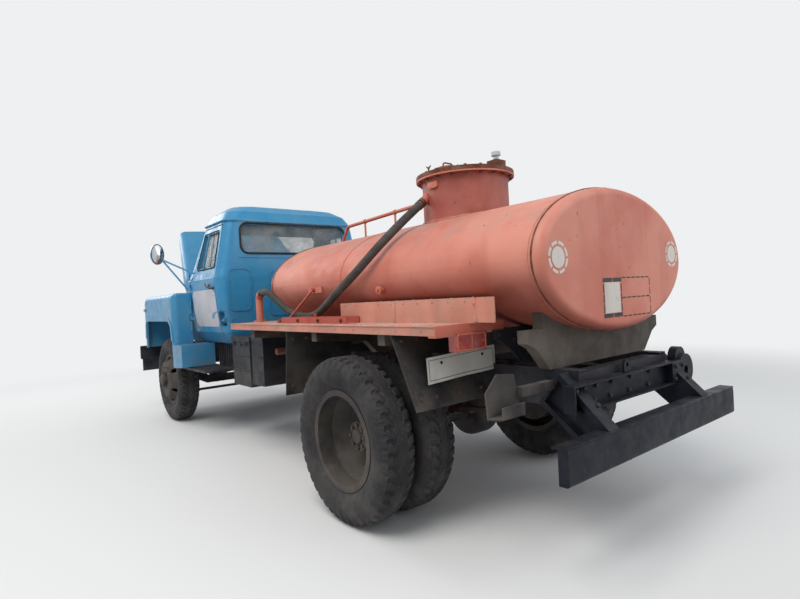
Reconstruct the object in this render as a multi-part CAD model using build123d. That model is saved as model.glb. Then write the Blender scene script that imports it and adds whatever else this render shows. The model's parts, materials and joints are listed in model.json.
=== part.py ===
from build123d import *
import math
import os

# Small tank truck: millimetres, +X to the front bumper, +Y to the left side, +Z up, ground at Z = 0.
# The origin is on the centreline, half-way between the bumper and the rear guard bar.

# Driving dimensions
WHEELBASE = 3700
FRONT_OVERHANG = 845
REAR_OVERHANG = 1285
FRONT_TRACK = 1700
REAR_TRACK = 1676
DUAL_SPACING = 280
TYRE_RADIUS = 455
TYRE_WIDTH = 210
RIM_RADIUS = 254
RIM_LIP = 24
RIM_WIDTH = 150
DISC_OFFSET = 137
WHEEL_PLATE = 8
HUB_RADIUS = 110
DRUM_RADIUS = 190
BEARING_GAP = 0.05
RUNNING_GAP = 6
SEAT_GAP = 0.3

REAR_X = -(WHEELBASE + FRONT_OVERHANG + REAR_OVERHANG) / 2
REAR_AXLE_X = REAR_X + REAR_OVERHANG
FRONT_AXLE_X = REAR_AXLE_X + WHEELBASE
NOSE_X = FRONT_AXLE_X + FRONT_OVERHANG

# Frame
RAIL_OUTER_Y = 430
RAIL_HEIGHT = 180
RAIL_FLANGE = 65
RAIL_WALL = 8
RAIL_TOP = 840
RAIL_BOTTOM = RAIL_TOP - RAIL_HEIGHT
RAIL_REAR_X = REAR_X + 195
RAIL_FRONT_X = NOSE_X - 130
RAIL_MID_Y = RAIL_OUTER_Y - RAIL_FLANGE / 2

# Axles, springs and steering
KINGPIN_INSET = 150
KINGPIN_Y = FRONT_TRACK / 2 - KINGPIN_INSET
KINGPIN_RADIUS = 15
KNUCKLE_EYE = 34
KNUCKLE_REACH = 45
AXLE_BEAM_Z = 400
AXLE_BEAM_HEIGHT = 80
AXLE_BEAM_WIDTH = 64
AXLE_TUBE_RADIUS = 55
BANJO_RADIUS = 165
SPINDLE_RADIUS = 32
SPRING_WIDTH = 60
FRONT_SPRING_HALF = 560
REAR_SPRING_HALF = 640
SPRING_EYE = 22
LEAF = 11
STEER_ARM = 170
TRACK_ROD_RADIUS = 14

# Cab
CAB_LENGTH = 950
CAB_FRONT_X = FRONT_AXLE_X - 380
CAB_BACK_X = CAB_FRONT_X - CAB_LENGTH
CAB_BELT_Z = 1500
CAB_BELT_Y = 826
CAB_RAIL_Z = 2035
CAB_RAIL_Y = 716
CAB_ROOF_Z = 2222
CAB_SILL_Z = 860
SIDE_WALL = 60
END_WALL = 42
FLOOR_WALL = 55
ROOF_WALL = 38
GLASS = 6
DOOR_GAP = 9
DOOR_REAR_X = CAB_BACK_X + 90
DOOR_FRONT_X = CAB_FRONT_X - 160
DOOR_TOP_Z = 2000
DOOR_BOTTOM_Z = 872

DOOR_HINGE_X = (DOOR_FRONT_X + DOOR_FRONT_X + DOOR_GAP) / 2
DOOR_HINGE_Z = (1130, 1440)
HINGE_RADIUS = 8
HINGE_HALF = 26
HINGE_PIN = 4
DOOR_HINGE_Y = CAB_BELT_Y + HINGE_RADIUS + 2
CAB_MOUNT_X = (CAB_BACK_X + 160, CAB_FRONT_X - 220)

# Front end
FENDER_Y = 1020
FENDER_TOP = 1390
FENDER_SKIN = 18
ARCH_TOP = 1100
ARCH_REAR_X = FRONT_AXLE_X - 470
ARCH_FRONT_X = FRONT_AXLE_X + 540
BONNET_REAR_Y = 765
BONNET_FRONT_Y = 640
BONNET_REAR_X = CAB_FRONT_X + 38
BONNET_FRONT_X = NOSE_X - 225
BONNET_TAPER_X = BONNET_REAR_X + 157
BONNET_HINGE_Z = 1462
BONNET_OPEN = 52
BONNET_SKIN = 18
BONNET_LUG_Y = 500
LUG_THICK = 10
LAMP_Y = 510
LAMP_Z = 1060
LAMP_RADIUS = 90
GRILLE_X = NOSE_X - 195
RADIATOR_X = NOSE_X - 355

# Tank and decks
TANK_A = 679
TANK_B = 362
TANK_Z = 1360
TANK_REAR_X = REAR_X + 189
TANK_FRONT_X = CAB_BACK_X - 782
TANK_EDGE = 42
NECK_X = TANK_REAR_X + 1066
NECK_RADIUS = 283
NECK_TOP = 1985
COVER_RADIUS = 322
COVER_THICK = 22
DECK_TOP = 1080
DECK_CLEAR = 640
DECK_DEPTH = 45
DECK_INNER_Y = 505
DECK_OUTER_Y = 970
DECK_REAR_X = REAR_X + 570
DECK_FRONT_X = CAB_BACK_X - DECK_CLEAR
DECK_SKIN = 6

os.makedirs("parts", exist_ok=True)
parts = {}


def slab(x0, x1, y0, y1, z0, z1):
    """Upright block between two corners."""
    size = Box(x1 - x0, y1 - y0, z1 - z0)
    return Pos((x0 + x1) / 2, (y0 + y1) / 2, (z0 + z1) / 2) * size


def side_plate(points, y0, y1):
    """Outline in X and Z, thick from y0 to y1."""
    outline = Polyline(*[(x, y0, z) for x, z in points], close=True)
    return extrude(make_face(outline), amount=y1 - y0, dir=(0, 1, 0))


def cross_plate(points, x0, x1):
    """Outline in Y and Z, thick from x0 to x1."""
    outline = Polyline(*[(x0, y, z) for y, z in points], close=True)
    return extrude(make_face(outline), amount=x1 - x0, dir=(1, 0, 0))


def plan_plate(points, z0, z1):
    """Outline in X and Y, thick from z0 to z1."""
    outline = Polyline(*[(x, y, z0) for x, y in points], close=True)
    return extrude(make_face(outline), amount=z1 - z0, dir=(0, 0, 1))


def rod(start, end, radius):
    """Round bar from start to end."""
    path = Line(start, end)
    return sweep(path.location_at(0) * Circle(radius), path=path)


def round_y(x, z, radius, y0, y1):
    """Cylinder along Y."""
    return Pos(x, (y0 + y1) / 2, z) * Rot(90, 0, 0) * Cylinder(radius, abs(y1 - y0))


def round_x(y, z, radius, x0, x1):
    """Cylinder along X."""
    return Pos((x0 + x1) / 2, y, z) * Rot(0, 90, 0) * Cylinder(radius, abs(x1 - x0))


def round_z(x, y, radius, z0, z1):
    """Cylinder along Z."""
    return Pos(x, y, (z0 + z1) / 2) * Cylinder(radius, z1 - z0)


def rounded_plate(rows, y0, y1):
    """Outline of x, z and corner radius, thick from y0 to y1."""
    face = make_face(Polyline(*[(x, y0, z) for x, z, _ in rows], close=True)).face()
    for x, z, radius in rows:
        if radius:
            corner = face.vertices().sort_by_distance((x, y0, z))[0]
            face = face.fillet_2d(radius, [corner])
    return extrude(face, amount=y1 - y0, dir=(0, 1, 0))


def ring_plate(half_w, half_h, corner, width):
    """Flat rounded frame in its own plane."""
    hole = RectangleRounded(2 * (half_w - width), 2 * (half_h - width), max(corner - width, 2))
    return RectangleRounded(2 * half_w, 2 * half_h, corner) - hole


def mirrored(shape):
    """The same piece on the other side of the truck."""
    return mirror(shape, about=Plane.XZ)


def both(shape):
    """The left piece and its mirror image."""
    return Compound(children=[*shape.solids(), *mirrored(shape).solids()])


def turned(profile):
    """Profile of radius and width turned about the Y axis."""
    outline = Polyline(*[(r, y, 0) for r, y in profile], close=True)
    return revolve(make_face(outline), axis=Axis.Y)


def turned_z(profile):
    """Profile of radius and height turned about the Z axis."""
    outline = Polyline(*[(r, 0, z) for r, z in profile], close=True)
    return revolve(make_face(outline), axis=Axis.Z)


# Wheels, each about its own centre with +Y outward
def tyre():
    half = TYRE_WIDTH / 2
    bead = RIM_RADIUS + SEAT_GAP
    lip = RIM_RADIUS + RIM_LIP + SEAT_GAP
    lip_y = RIM_WIDTH / 2 - 6 - SEAT_GAP
    crown = TYRE_RADIUS - 14
    bulge = (TYRE_RADIUS + RIM_RADIUS) / 2
    bead_y = RIM_WIDTH / 2 - 14 - 2 * SEAT_GAP
    line = Polyline((lip, -lip_y, 0), (bead, -bead_y, 0), (bead, bead_y, 0), (lip, lip_y, 0))
    outer = ThreePointArc((lip, lip_y, 0), (bulge, half, 0), (crown, half * 0.80, 0))
    shoulder = Polyline((crown, half * 0.80, 0), (TYRE_RADIUS, half * 0.66, 0),
                        (TYRE_RADIUS, -half * 0.66, 0), (crown, -half * 0.80, 0))
    inner = ThreePointArc((crown, -half * 0.80, 0), (bulge, -half, 0), (lip, -lip_y, 0))
    face = make_face([line, outer, shoulder, inner])
    return revolve(face, axis=Axis.Y)


# hand holes of a disc: count, distance from the centre, radius
FRONT_HOLES = (6, RIM_RADIUS - 42, 25)
REAR_HOLES = (2, 104, 20)
FRONT_NUTS = (6, 84, 14)
REAR_NUTS = (8, 64, 11)


def around(count, radius, start=30):
    """Points evenly spaced on a circle."""
    turns = [math.radians(start + 360 * k / count) for k in range(count)]
    return [(radius * math.cos(t), radius * math.sin(t)) for t in turns]


def rim(offset, holes):
    """Barrel, lips and dished disc whose bolt face stands offset out of the middle."""
    half = RIM_WIDTH / 2
    seat = RIM_RADIUS
    barrel = turned([(seat - 10, -half), (seat + RIM_LIP, -half), (seat + RIM_LIP, -half + 6),
                     (seat, -half + 14), (seat, half - 14), (seat + RIM_LIP, half - 6),
                     (seat + RIM_LIP, half), (seat - 10, half)])
    sign = 1 if offset > 0 else -1
    edge = sign * (half - 30)
    disc = turned([(seat - 10, edge - sign * 22), (seat - 10, edge), (seat - 60, offset - sign * 10),
                   (seat - 90, offset), (HUB_RADIUS - 30, offset),
                   (HUB_RADIUS - 30, offset - sign * WHEEL_PLATE),
                   (seat - 94, offset - sign * WHEEL_PLATE), (seat - 68, offset - sign * 22)])
    body = barrel + disc
    count, distance, radius = holes
    for x, z in around(count, distance):
        body -= round_y(x, z, radius, -200, 200)
    return body


def nut_ring(ring, y0, y1):
    count, distance, radius = ring
    nuts = Part()
    for x, z in around(count, distance, 0):
        nut = extrude(RegularPolygon(radius, 6), amount=y1 - y0)
        nuts += Pos(x, y1, z) * Rot(90, 0, 0) * nut
    return nuts


def front_wheel():
    disc_y = DISC_OFFSET
    hub_in = KINGPIN_Y + KNUCKLE_REACH + 60 - FRONT_TRACK / 2
    hub = turned([(SPINDLE_RADIUS + BEARING_GAP, hub_in), (DRUM_RADIUS, hub_in), (DRUM_RADIUS, 40),
                  (HUB_RADIUS, 40), (HUB_RADIUS, disc_y - WHEEL_PLATE), (60, disc_y - WHEEL_PLATE),
                  (60, disc_y + 30), (48, disc_y + 44), (0, disc_y + 44), (0, disc_y + 8),
                  (SPINDLE_RADIUS + BEARING_GAP, disc_y + 8)])
    nuts = nut_ring(FRONT_NUTS, disc_y - 2, disc_y + 16)
    return rim(disc_y, FRONT_HOLES) + hub + nuts


def rear_wheels():
    """Two rims bolted face to face on one drum, about the middle of the pair."""
    gap = DUAL_SPACING / 2
    outer = Pos(0, gap, 0) * rim(-gap, REAR_HOLES)
    inner = Pos(0, -gap, 0) * rim(gap, REAR_HOLES)
    hub = turned([(AXLE_TUBE_RADIUS + BEARING_GAP, -gap - 90), (DRUM_RADIUS, -gap - 90),
                  (DRUM_RADIUS, -WHEEL_PLATE - 20), (HUB_RADIUS, -WHEEL_PLATE - 6),
                  (HUB_RADIUS, -WHEEL_PLATE), (HUB_RADIUS - 28, -WHEEL_PLATE), (HUB_RADIUS - 28, 96), (44, 96), (38, 112), (0, 112), (0, 86),
                  (AXLE_TUBE_RADIUS + BEARING_GAP, 86)])
    return outer + inner + hub + nut_ring(REAR_NUTS, 90, 110)


front_left = Pos(FRONT_AXLE_X, FRONT_TRACK / 2, TYRE_RADIUS)
rear_left = Pos(REAR_AXLE_X, REAR_TRACK / 2, TYRE_RADIUS)

front_rim = front_left * front_wheel()
front_tyre = front_left * tyre()
parts["front_left_tyre"] = front_tyre
parts["front_left_rim"] = front_rim
parts["front_right_tyre"] = mirrored(front_tyre)
parts["front_right_rim"] = mirrored(front_rim)

rear_rims = rear_left * rear_wheels()
one_tyre = tyre()
rear_tyres = Compound(children=[
    rear_left * Pos(0, DUAL_SPACING / 2, 0) * one_tyre,
    rear_left * Pos(0, -DUAL_SPACING / 2, 0) * one_tyre,
])
parts["rear_left_tyres"] = rear_tyres
parts["rear_left_rims"] = rear_rims
parts["rear_right_tyres"] = mirrored(rear_tyres)
parts["rear_right_rims"] = mirrored(rear_rims)


# Frame: two channel rails and the crossmembers between their webs
def rail():
    y_in = RAIL_OUTER_Y - RAIL_FLANGE
    blank = slab(RAIL_REAR_X, RAIL_FRONT_X, y_in, RAIL_OUTER_Y, RAIL_BOTTOM, RAIL_TOP)
    hollow = slab(RAIL_REAR_X, RAIL_FRONT_X, y_in, RAIL_OUTER_Y - RAIL_WALL,
                  RAIL_BOTTOM + RAIL_WALL, RAIL_TOP - RAIL_WALL)
    return blank - hollow


MIDDLE_CROSS_X = CAB_BACK_X - 590


def crossmembers():
    web_y = RAIL_OUTER_Y - RAIL_WALL
    # x centre, length, lowest and highest point
    table = [
        (RAIL_REAR_X + 40, 80, RAIL_BOTTOM + 12, RAIL_TOP - 12),
        (REAR_AXLE_X + 560, 70, RAIL_BOTTOM + 60, RAIL_TOP - 12),
        (REAR_AXLE_X - 560, 70, RAIL_BOTTOM + 60, RAIL_TOP - 12),
        (MIDDLE_CROSS_X, 70, RAIL_BOTTOM + 60, RAIL_TOP - 12),
        (CAB_BACK_X - 40, 70, RAIL_BOTTOM + 60, RAIL_TOP - 12),
        (RAIL_FRONT_X - 60, 70, RAIL_BOTTOM + 12, RAIL_BOTTOM + 80),
    ]
    bars = []
    for x, length, low, high in table:
        bar = slab(x - length / 2, x + length / 2, -web_y, web_y, low, high)
        bars.append(bar - slab(x - length / 2 + 8, x + length / 2, -web_y + 30, web_y - 30, low + 8, high - 8))
    return Compound(children=[s for bar in bars for s in bar.solids()])


parts["rails"] = both(rail())
parts["crossmembers"] = crossmembers()


# Leaf springs with their eyes and hanger blocks
def leaf(x, low, half, rise, thick, y0, y1):
    ends_z = low + rise
    top = ThreePointArc((x - half, y0, ends_z + thick), (x, y0, low + thick), (x + half, y0, ends_z + thick))
    right = Line((x + half, y0, ends_z + thick), (x + half, y0, ends_z))
    bottom = ThreePointArc((x + half, y0, ends_z), (x, y0, low), (x - half, y0, ends_z))
    left = Line((x - half, y0, ends_z), (x - half, y0, ends_z + thick))
    return extrude(make_face([top, right, bottom, left]), amount=y1 - y0, dir=(0, 1, 0))


def spring(axle_x, half, low, leaves):
    y0 = RAIL_MID_Y - SPRING_WIDTH / 2
    y1 = RAIL_MID_Y + SPRING_WIDTH / 2
    eye_z = RAIL_BOTTOM - 45
    main_low = low + LEAF * (leaves - 1)
    rise = eye_z - SPRING_EYE - main_low
    stack = leaf(axle_x, main_low, half, rise, LEAF, y0, y1)
    for k in range(1, leaves):
        part_half = half * (1 - 0.8 * k / leaves)
        part_rise = rise * (part_half / half) ** 2
        stack += leaf(axle_x, main_low - LEAF * k, part_half, part_rise, LEAF * 1.05, y0, y1)
    for end in (-1, 1):
        x = axle_x + end * half
        stack += round_y(x, eye_z, SPRING_EYE, y0, y1)
        stack += slab(x - 30, x + 30, y0 + 5, y1 - 5, eye_z, RAIL_BOTTOM)
    return stack


FRONT_SPRING_LOW = AXLE_BEAM_Z + AXLE_BEAM_HEIGHT / 2 + 12
REAR_SPRING_LOW = TYRE_RADIUS + AXLE_TUBE_RADIUS + 12
front_spring = spring(FRONT_AXLE_X, FRONT_SPRING_HALF, FRONT_SPRING_LOW, 5)
rear_spring = spring(REAR_AXLE_X, REAR_SPRING_HALF, REAR_SPRING_LOW, 4)
parts["front_springs"] = both(front_spring)
parts["rear_springs"] = both(rear_spring)


# Front axle beam with a kingpin at each end
def front_axle():
    top = AXLE_BEAM_Z + AXLE_BEAM_HEIGHT / 2
    low = AXLE_BEAM_Z - AXLE_BEAM_HEIGHT / 2
    eye_top = TYRE_RADIUS + 42
    eye_low = TYRE_RADIUS - 42
    tip = KINGPIN_Y - 10
    outline = [(-tip, eye_low), (-645, eye_low), (-540, low), (540, low), (645, eye_low), (tip, eye_low),
               (tip, eye_top), (600, eye_top), (500, top), (-500, top), (-600, eye_top), (-tip, eye_top)]
    x0 = FRONT_AXLE_X - AXLE_BEAM_WIDTH / 2
    x1 = FRONT_AXLE_X + AXLE_BEAM_WIDTH / 2
    beam = cross_plate(outline, x0, x1)
    waist = [(-530, low + 16), (530, low + 16), (470, top - 16), (-470, top - 16)]
    beam -= cross_plate(waist, x0, x0 + 24)
    beam -= cross_plate(waist, x1 - 24, x1)
    pad_y0 = RAIL_MID_Y - SPRING_WIDTH / 2 - 8
    pad = slab(FRONT_AXLE_X - 75, FRONT_AXLE_X + 75, pad_y0, pad_y0 + SPRING_WIDTH + 16, top, FRONT_SPRING_LOW)
    eye = round_z(FRONT_AXLE_X, KINGPIN_Y, KNUCKLE_EYE, eye_low, eye_top)
    pin = round_z(FRONT_AXLE_X, KINGPIN_Y, KINGPIN_RADIUS, eye_low - 42, eye_top + 42)
    ends = pad + eye + pin
    return beam + ends + mirrored(ends)


def knuckle():
    """Fork, kingpin eyes, spindle and steering arm of the left front wheel."""
    z = TYRE_RADIUS
    web_y = KINGPIN_Y + KNUCKLE_REACH
    eye_gap = 42 + RUNNING_GAP
    fork = slab(FRONT_AXLE_X - 34, FRONT_AXLE_X + 34, KINGPIN_Y, web_y + 24, z - 88, z + 88)
    fork += round_z(FRONT_AXLE_X, KINGPIN_Y, KNUCKLE_EYE, z - 88, z + 88)
    fork -= slab(FRONT_AXLE_X - 60, FRONT_AXLE_X + 60, KINGPIN_Y - 60, web_y, z - eye_gap, z + eye_gap)
    fork -= round_z(FRONT_AXLE_X, KINGPIN_Y, KINGPIN_RADIUS + BEARING_GAP, z - 100, z + 100)
    plate = round_y(FRONT_AXLE_X, z, DRUM_RADIUS - 4, web_y + 24, web_y + 34)
    spindle = round_y(FRONT_AXLE_X, z, SPINDLE_RADIUS, web_y, FRONT_TRACK / 2 + DISC_OFFSET)
    arm_z = z - 88
    arm = slab(FRONT_AXLE_X - STEER_ARM, FRONT_AXLE_X, KINGPIN_Y - 18, KINGPIN_Y + 18, arm_z - 22, arm_z)
    arm += round_z(FRONT_AXLE_X - STEER_ARM, KINGPIN_Y, 24, arm_z - 22, arm_z)
    arm += round_z(FRONT_AXLE_X, KINGPIN_Y, KNUCKLE_EYE, arm_z - 22, arm_z)
    stud = round_z(FRONT_AXLE_X - STEER_ARM, KINGPIN_Y, 9, arm_z - 70, arm_z - 22)
    return fork + plate + spindle + arm + stud


def track_rod():
    z = TYRE_RADIUS - 88 - 48
    x = FRONT_AXLE_X - STEER_ARM
    bar = round_y(x, z, TRACK_ROD_RADIUS, -KINGPIN_Y, KINGPIN_Y)
    for side in (-1, 1):
        eye = round_z(x, side * KINGPIN_Y, 24, z - 18, z + 18)
        bar += eye
        bar -= round_z(x, side * KINGPIN_Y, 9 + BEARING_GAP * 2, z - 30, z + 30)
    return bar


left_knuckle = knuckle()
parts["front_axle"] = front_axle()
parts["knuckle_left"] = left_knuckle
parts["knuckle_right"] = mirrored(left_knuckle)
parts["track_rod"] = track_rod()


# Rear axle, propeller shaft and engine
def rear_axle():
    z = TYRE_RADIUS
    end_y = REAR_TRACK / 2 + 80
    tube = round_y(REAR_AXLE_X, z, AXLE_TUBE_RADIUS, -end_y, end_y)
    bowl = round_y(REAR_AXLE_X, z, BANJO_RADIUS, -105, 105)
    bowl = fillet(bowl.edges().filter_by(GeomType.CIRCLE), 60)
    nose = Pos(REAR_AXLE_X + 190, 0, z + 10) * Rot(0, 90, 0) * Cone(95, 55, 200)
    pads = Part()
    for side in (-1, 1):
        y = side * RAIL_MID_Y
        pads += slab(REAR_AXLE_X - 70, REAR_AXLE_X + 70, y - 40, y + 40, z + 20, REAR_SPRING_LOW)
    return tube + bowl + nose + pads


ENGINE_FRONT_X = FRONT_AXLE_X + 260
ENGINE_BACK_X = ENGINE_FRONT_X - 570
GEARBOX_X = ENGINE_BACK_X - 160
GEARBOX_TAIL_X = ENGINE_BACK_X - 830
GEARBOX_TAIL_Z = 645
AXLE_NOSE = 290


def propeller_shaft():
    front = (GEARBOX_TAIL_X - 62, 0, GEARBOX_TAIL_Z)
    rear = (REAR_AXLE_X + AXLE_NOSE + 62, 0, TYRE_RADIUS + 10)
    shaft = rod(front, rear, 36)
    for centre, flange_x, turn in ((front, GEARBOX_TAIL_X - SEAT_GAP, -1), (rear, rear[0] - 62 + SEAT_GAP, 1)):
        shaft += Pos(*centre) * (Box(70, 100, 44) + Box(60, 44, 100))
        shaft += round_x(0, centre[2], 52, flange_x, flange_x + turn * 30)
    return shaft


HEAD_TILT = 45
FAN_X = ENGINE_FRONT_X + 110
FAN_Z = 930
FAN_RADIUS = 225
FAN_BLADES = 6


def cylinder_bank(side):
    """Head, valve cover and manifold log of one side of the vee."""
    mid_x = (ENGINE_FRONT_X + ENGINE_BACK_X) / 2
    head = Box(520, 130, 150)
    cover = Pos(0, 0, 105) * fillet(Box(490, 110, 64).edges().filter_by(Axis.X), 24)
    manifold = Pos(0, 102, -10) * Rot(0, 90, 0) * Cylinder(30, 470)
    ports = Part()
    for x in (-195, -65, 65, 195):
        ports += Pos(x, 76, -10) * Box(56, 60, 48)
    bank = head + cover + manifold + ports
    bank = Pos(mid_x, 0, 790) * Rot(-HEAD_TILT, 0, 0) * Pos(0, 0, 215) * bank
    return bank if side > 0 else mirrored(bank)


def fan():
    hub = round_x(0, FAN_Z, 46, FAN_X - 70, FAN_X + 10)
    pulley = round_x(0, FAN_Z, 82, ENGINE_FRONT_X, ENGINE_FRONT_X + 44)
    crank = round_x(0, 700, 92, ENGINE_FRONT_X - 10, ENGINE_FRONT_X + 44)
    blades = Part()
    for k in range(FAN_BLADES):
        blade = Pos(0, 0, (FAN_RADIUS + 30) / 2) * Rot(0, 0, 28) * Box(5, 74, FAN_RADIUS - 30)
        blades += Pos(FAN_X, 0, FAN_Z) * Rot(360 / FAN_BLADES * k, 0, 0) * blade
    return hub + pulley + crank + blades


def engine():
    """Vee engine with its bell housing, gearbox and fan; the inside stays closed."""
    block = cross_plate([(-130, 600), (130, 600), (200, 700), (200, 800), (110, 930), (-110, 930), (-200, 800),
                         (-200, 700)], ENGINE_BACK_X, ENGINE_FRONT_X)
    sump = slab(ENGINE_BACK_X + 40, ENGINE_FRONT_X - 80, -140, 140, 500, 605)
    cleaner = turned_z([(0, 920), (70, 920), (70, 1065), (120, 1070), (150, 1110), (150, 1190), (164, 1196),
                        (164, 1212), (40, 1226), (0, 1226)])
    cleaner = Pos(ENGINE_BACK_X + 300, 0, 0) * Rot(0, 0, 90) * cleaner
    snorkel = slab(ENGINE_BACK_X + 420, ENGINE_FRONT_X, -45, 45, 1120, 1180)
    bell = Pos(ENGINE_BACK_X - 80, 0, 720) * Rot(0, 90, 0) * Cone(130, 205, 170)
    gearbox = slab(GEARBOX_X - 300, GEARBOX_X, -120, 120, 600, 840)
    tail = round_x(0, GEARBOX_TAIL_Z, 80, GEARBOX_TAIL_X, GEARBOX_X - 299)
    feet = slab(ENGINE_FRONT_X - 100, ENGINE_FRONT_X - 10, -385, 385, RAIL_TOP, RAIL_TOP + 26)
    body = block + sump + cleaner + snorkel + bell + gearbox + tail + feet
    return body + cylinder_bank(1) + cylinder_bank(-1) + fan()


def exhaust():
    """Pipe with its silencer, led out under the left deck."""
    end_x = MIDDLE_CROSS_X - 540
    line = [(ENGINE_BACK_X + 220, 300, 700), (ENGINE_BACK_X + 40, 300, 560), (CAB_BACK_X - 40, 250, 560),
            (end_x + 240, 250, 560), (end_x, 330, 590), (end_x, 600, 640), (end_x, 640, 860), (end_x, 815, 860)]
    path = FilletPolyline(*line, radius=60)
    pipe = sweep(Plane(origin=path @ 0, z_dir=path % 0) * Circle(25), path=path)
    silencer = round_x(250, 560, 78, MIDDLE_CROSS_X - 50, MIDDLE_CROSS_X + 450)
    strap = slab(MIDDLE_CROSS_X - 15, MIDDLE_CROSS_X + 15, 240, 260, 630, RAIL_BOTTOM + 60)
    return pipe + silencer + strap


def radiator():
    back = RADIATOR_X - 10
    core = slab(RADIATOR_X, RADIATOR_X + 60, -330, 330, 720, 1180)
    core += fillet(slab(back, back + 80, -330, 330, 1180, 1260).edges().filter_by(Axis.Y), 22)
    core += slab(back, back + 80, -330, 330, 670, 722) + round_z(RADIATOR_X + 30, -120, 40, 1250, 1285)
    ears = slab(RADIATOR_X + 20, RADIATOR_X + 50, -385, 385, RAIL_TOP, RAIL_TOP + 14)
    return core + ears


parts["rear_axle"] = rear_axle()
parts["propeller_shaft"] = propeller_shaft()
parts["engine"] = engine()
parts["radiator"] = radiator()
parts["exhaust"] = exhaust()


# Cab body: a hollow shell cut into its panels
# height, rear x, front x, half width, corner radius
CAB_SECTIONS = [
    (CAB_SILL_Z, CAB_BACK_X + 50, CAB_FRONT_X - 120, CAB_BELT_Y - 136, 60),
    (980, CAB_BACK_X + 17, CAB_FRONT_X - 40, CAB_BELT_Y - 51, 80),
    (1180, CAB_BACK_X + 7, CAB_FRONT_X - 12, CAB_BELT_Y - 18, 86),
    (1400, CAB_BACK_X + 2, CAB_FRONT_X, CAB_BELT_Y, 90),
    (CAB_BELT_Z, CAB_BACK_X, CAB_FRONT_X, CAB_BELT_Y, 90),
    (1590, CAB_BACK_X, CAB_FRONT_X - 80, CAB_BELT_Y - 24, 100),
    (CAB_RAIL_Z, CAB_BACK_X + 6, CAB_FRONT_X - 320, CAB_RAIL_Y, 110),
]
ROOF_SECTIONS = [
    (CAB_RAIL_Z, CAB_BACK_X - 6, CAB_FRONT_X - 302, CAB_RAIL_Y + 12, 120),
    (CAB_RAIL_Z + 14, CAB_BACK_X - 6, CAB_FRONT_X - 302, CAB_RAIL_Y + 12, 120),
    (CAB_RAIL_Z + 22, CAB_BACK_X + 8, CAB_FRONT_X - 316, CAB_RAIL_Y - 2, 120),
    (CAB_RAIL_Z + 100, CAB_BACK_X + 36, CAB_FRONT_X - 350, CAB_RAIL_Y - 48, 140),
    (CAB_ROOF_Z - 26, CAB_BACK_X + 112, CAB_FRONT_X - 430, CAB_RAIL_Y - 142, 150),
    (CAB_ROOF_Z, CAB_BACK_X + 220, CAB_FRONT_X - 550, CAB_RAIL_Y - 310, 80),
]


def section_face(z, rear, front, half, radius):
    return Pos((rear + front) / 2, 0, z) * RectangleRounded(front - rear, 2 * half, radius)


def shell_loft(table, inset_rear, inset_front, inset_side):
    faces = []
    for z, rear, front, half, radius in table:
        r = max(radius - min(inset_rear, inset_side), 12)
        faces.append(section_face(z, rear + inset_rear, front - inset_front, half - inset_side, r))
    return loft(faces, ruled=True)


cab_outer = shell_loft(CAB_SECTIONS, 0, 0, 0)
cab_inner = shell_loft(CAB_SECTIONS, END_WALL, END_WALL, SIDE_WALL)
cab_shell = cab_outer - cab_inner
floor_room = shell_loft(CAB_SECTIONS, END_WALL, END_WALL, SIDE_WALL + 14)

roof_outer = shell_loft(ROOF_SECTIONS, 0, 0, 0)
roof_inner = Pos(0, 0, -ROOF_WALL) * shell_loft(ROOF_SECTIONS, END_WALL, END_WALL, SIDE_WALL)
cab_roof = roof_outer - roof_inner

# Door outline in X and Z
DOOR_OUTLINE = [
    (DOOR_REAR_X, DOOR_BOTTOM_Z), (DOOR_FRONT_X - 60, DOOR_BOTTOM_Z), (DOOR_FRONT_X, 960), (DOOR_FRONT_X, 1490),
    (DOOR_FRONT_X - 90, 1600), (DOOR_FRONT_X - 220, DOOR_TOP_Z), (DOOR_REAR_X, DOOR_TOP_Z),
]
WINDOW_OUTLINE = [(DOOR_REAR_X + 62, 1612), (DOOR_FRONT_X - 155, 1612), (DOOR_FRONT_X - 268, 1945), (DOOR_REAR_X + 62, 1945)]


def grown(points, gap):
    """The outline moved out by gap all round."""
    wire = Polyline(*[(x, 0, z) for x, z in points], close=True)
    face = make_face(wire)
    return offset(face, amount=gap, kind=Kind.INTERSECTION)


def door_prism(gap, y0, y1):
    face = grown(DOOR_OUTLINE, gap) if gap else make_face(Polyline(*[(x, 0, z) for x, z in DOOR_OUTLINE], close=True))
    prism = extrude(face, amount=y1 - y0, dir=(0, 1, 0))
    return Pos(0, y0, 0) * prism


def hinge_leaf(z, side):
    """Half a door hinge: side +1 is fixed to the cab and has the pin, -1 to the door."""
    low, high = (z + SEAT_GAP, z + HINGE_HALF) if side > 0 else (z - HINGE_HALF, z)
    barrel = round_z(DOOR_HINGE_X, DOOR_HINGE_Y, HINGE_RADIUS, low, high)
    edge = DOOR_HINGE_X + side * DOOR_GAP / 2
    reach = sorted((edge, edge + side * 26))
    leaf_plate = slab(*reach, CAB_BELT_Y - 50, DOOR_HINGE_Y, low, high)
    if side > 0:
        return barrel + leaf_plate + round_z(DOOR_HINGE_X, DOOR_HINGE_Y, HINGE_PIN, z - HINGE_HALF - 4, high)
    return barrel + leaf_plate - round_z(DOOR_HINGE_X, DOOR_HINGE_Y, HINGE_PIN + BEARING_GAP, low - 1, high + 1)


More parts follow.
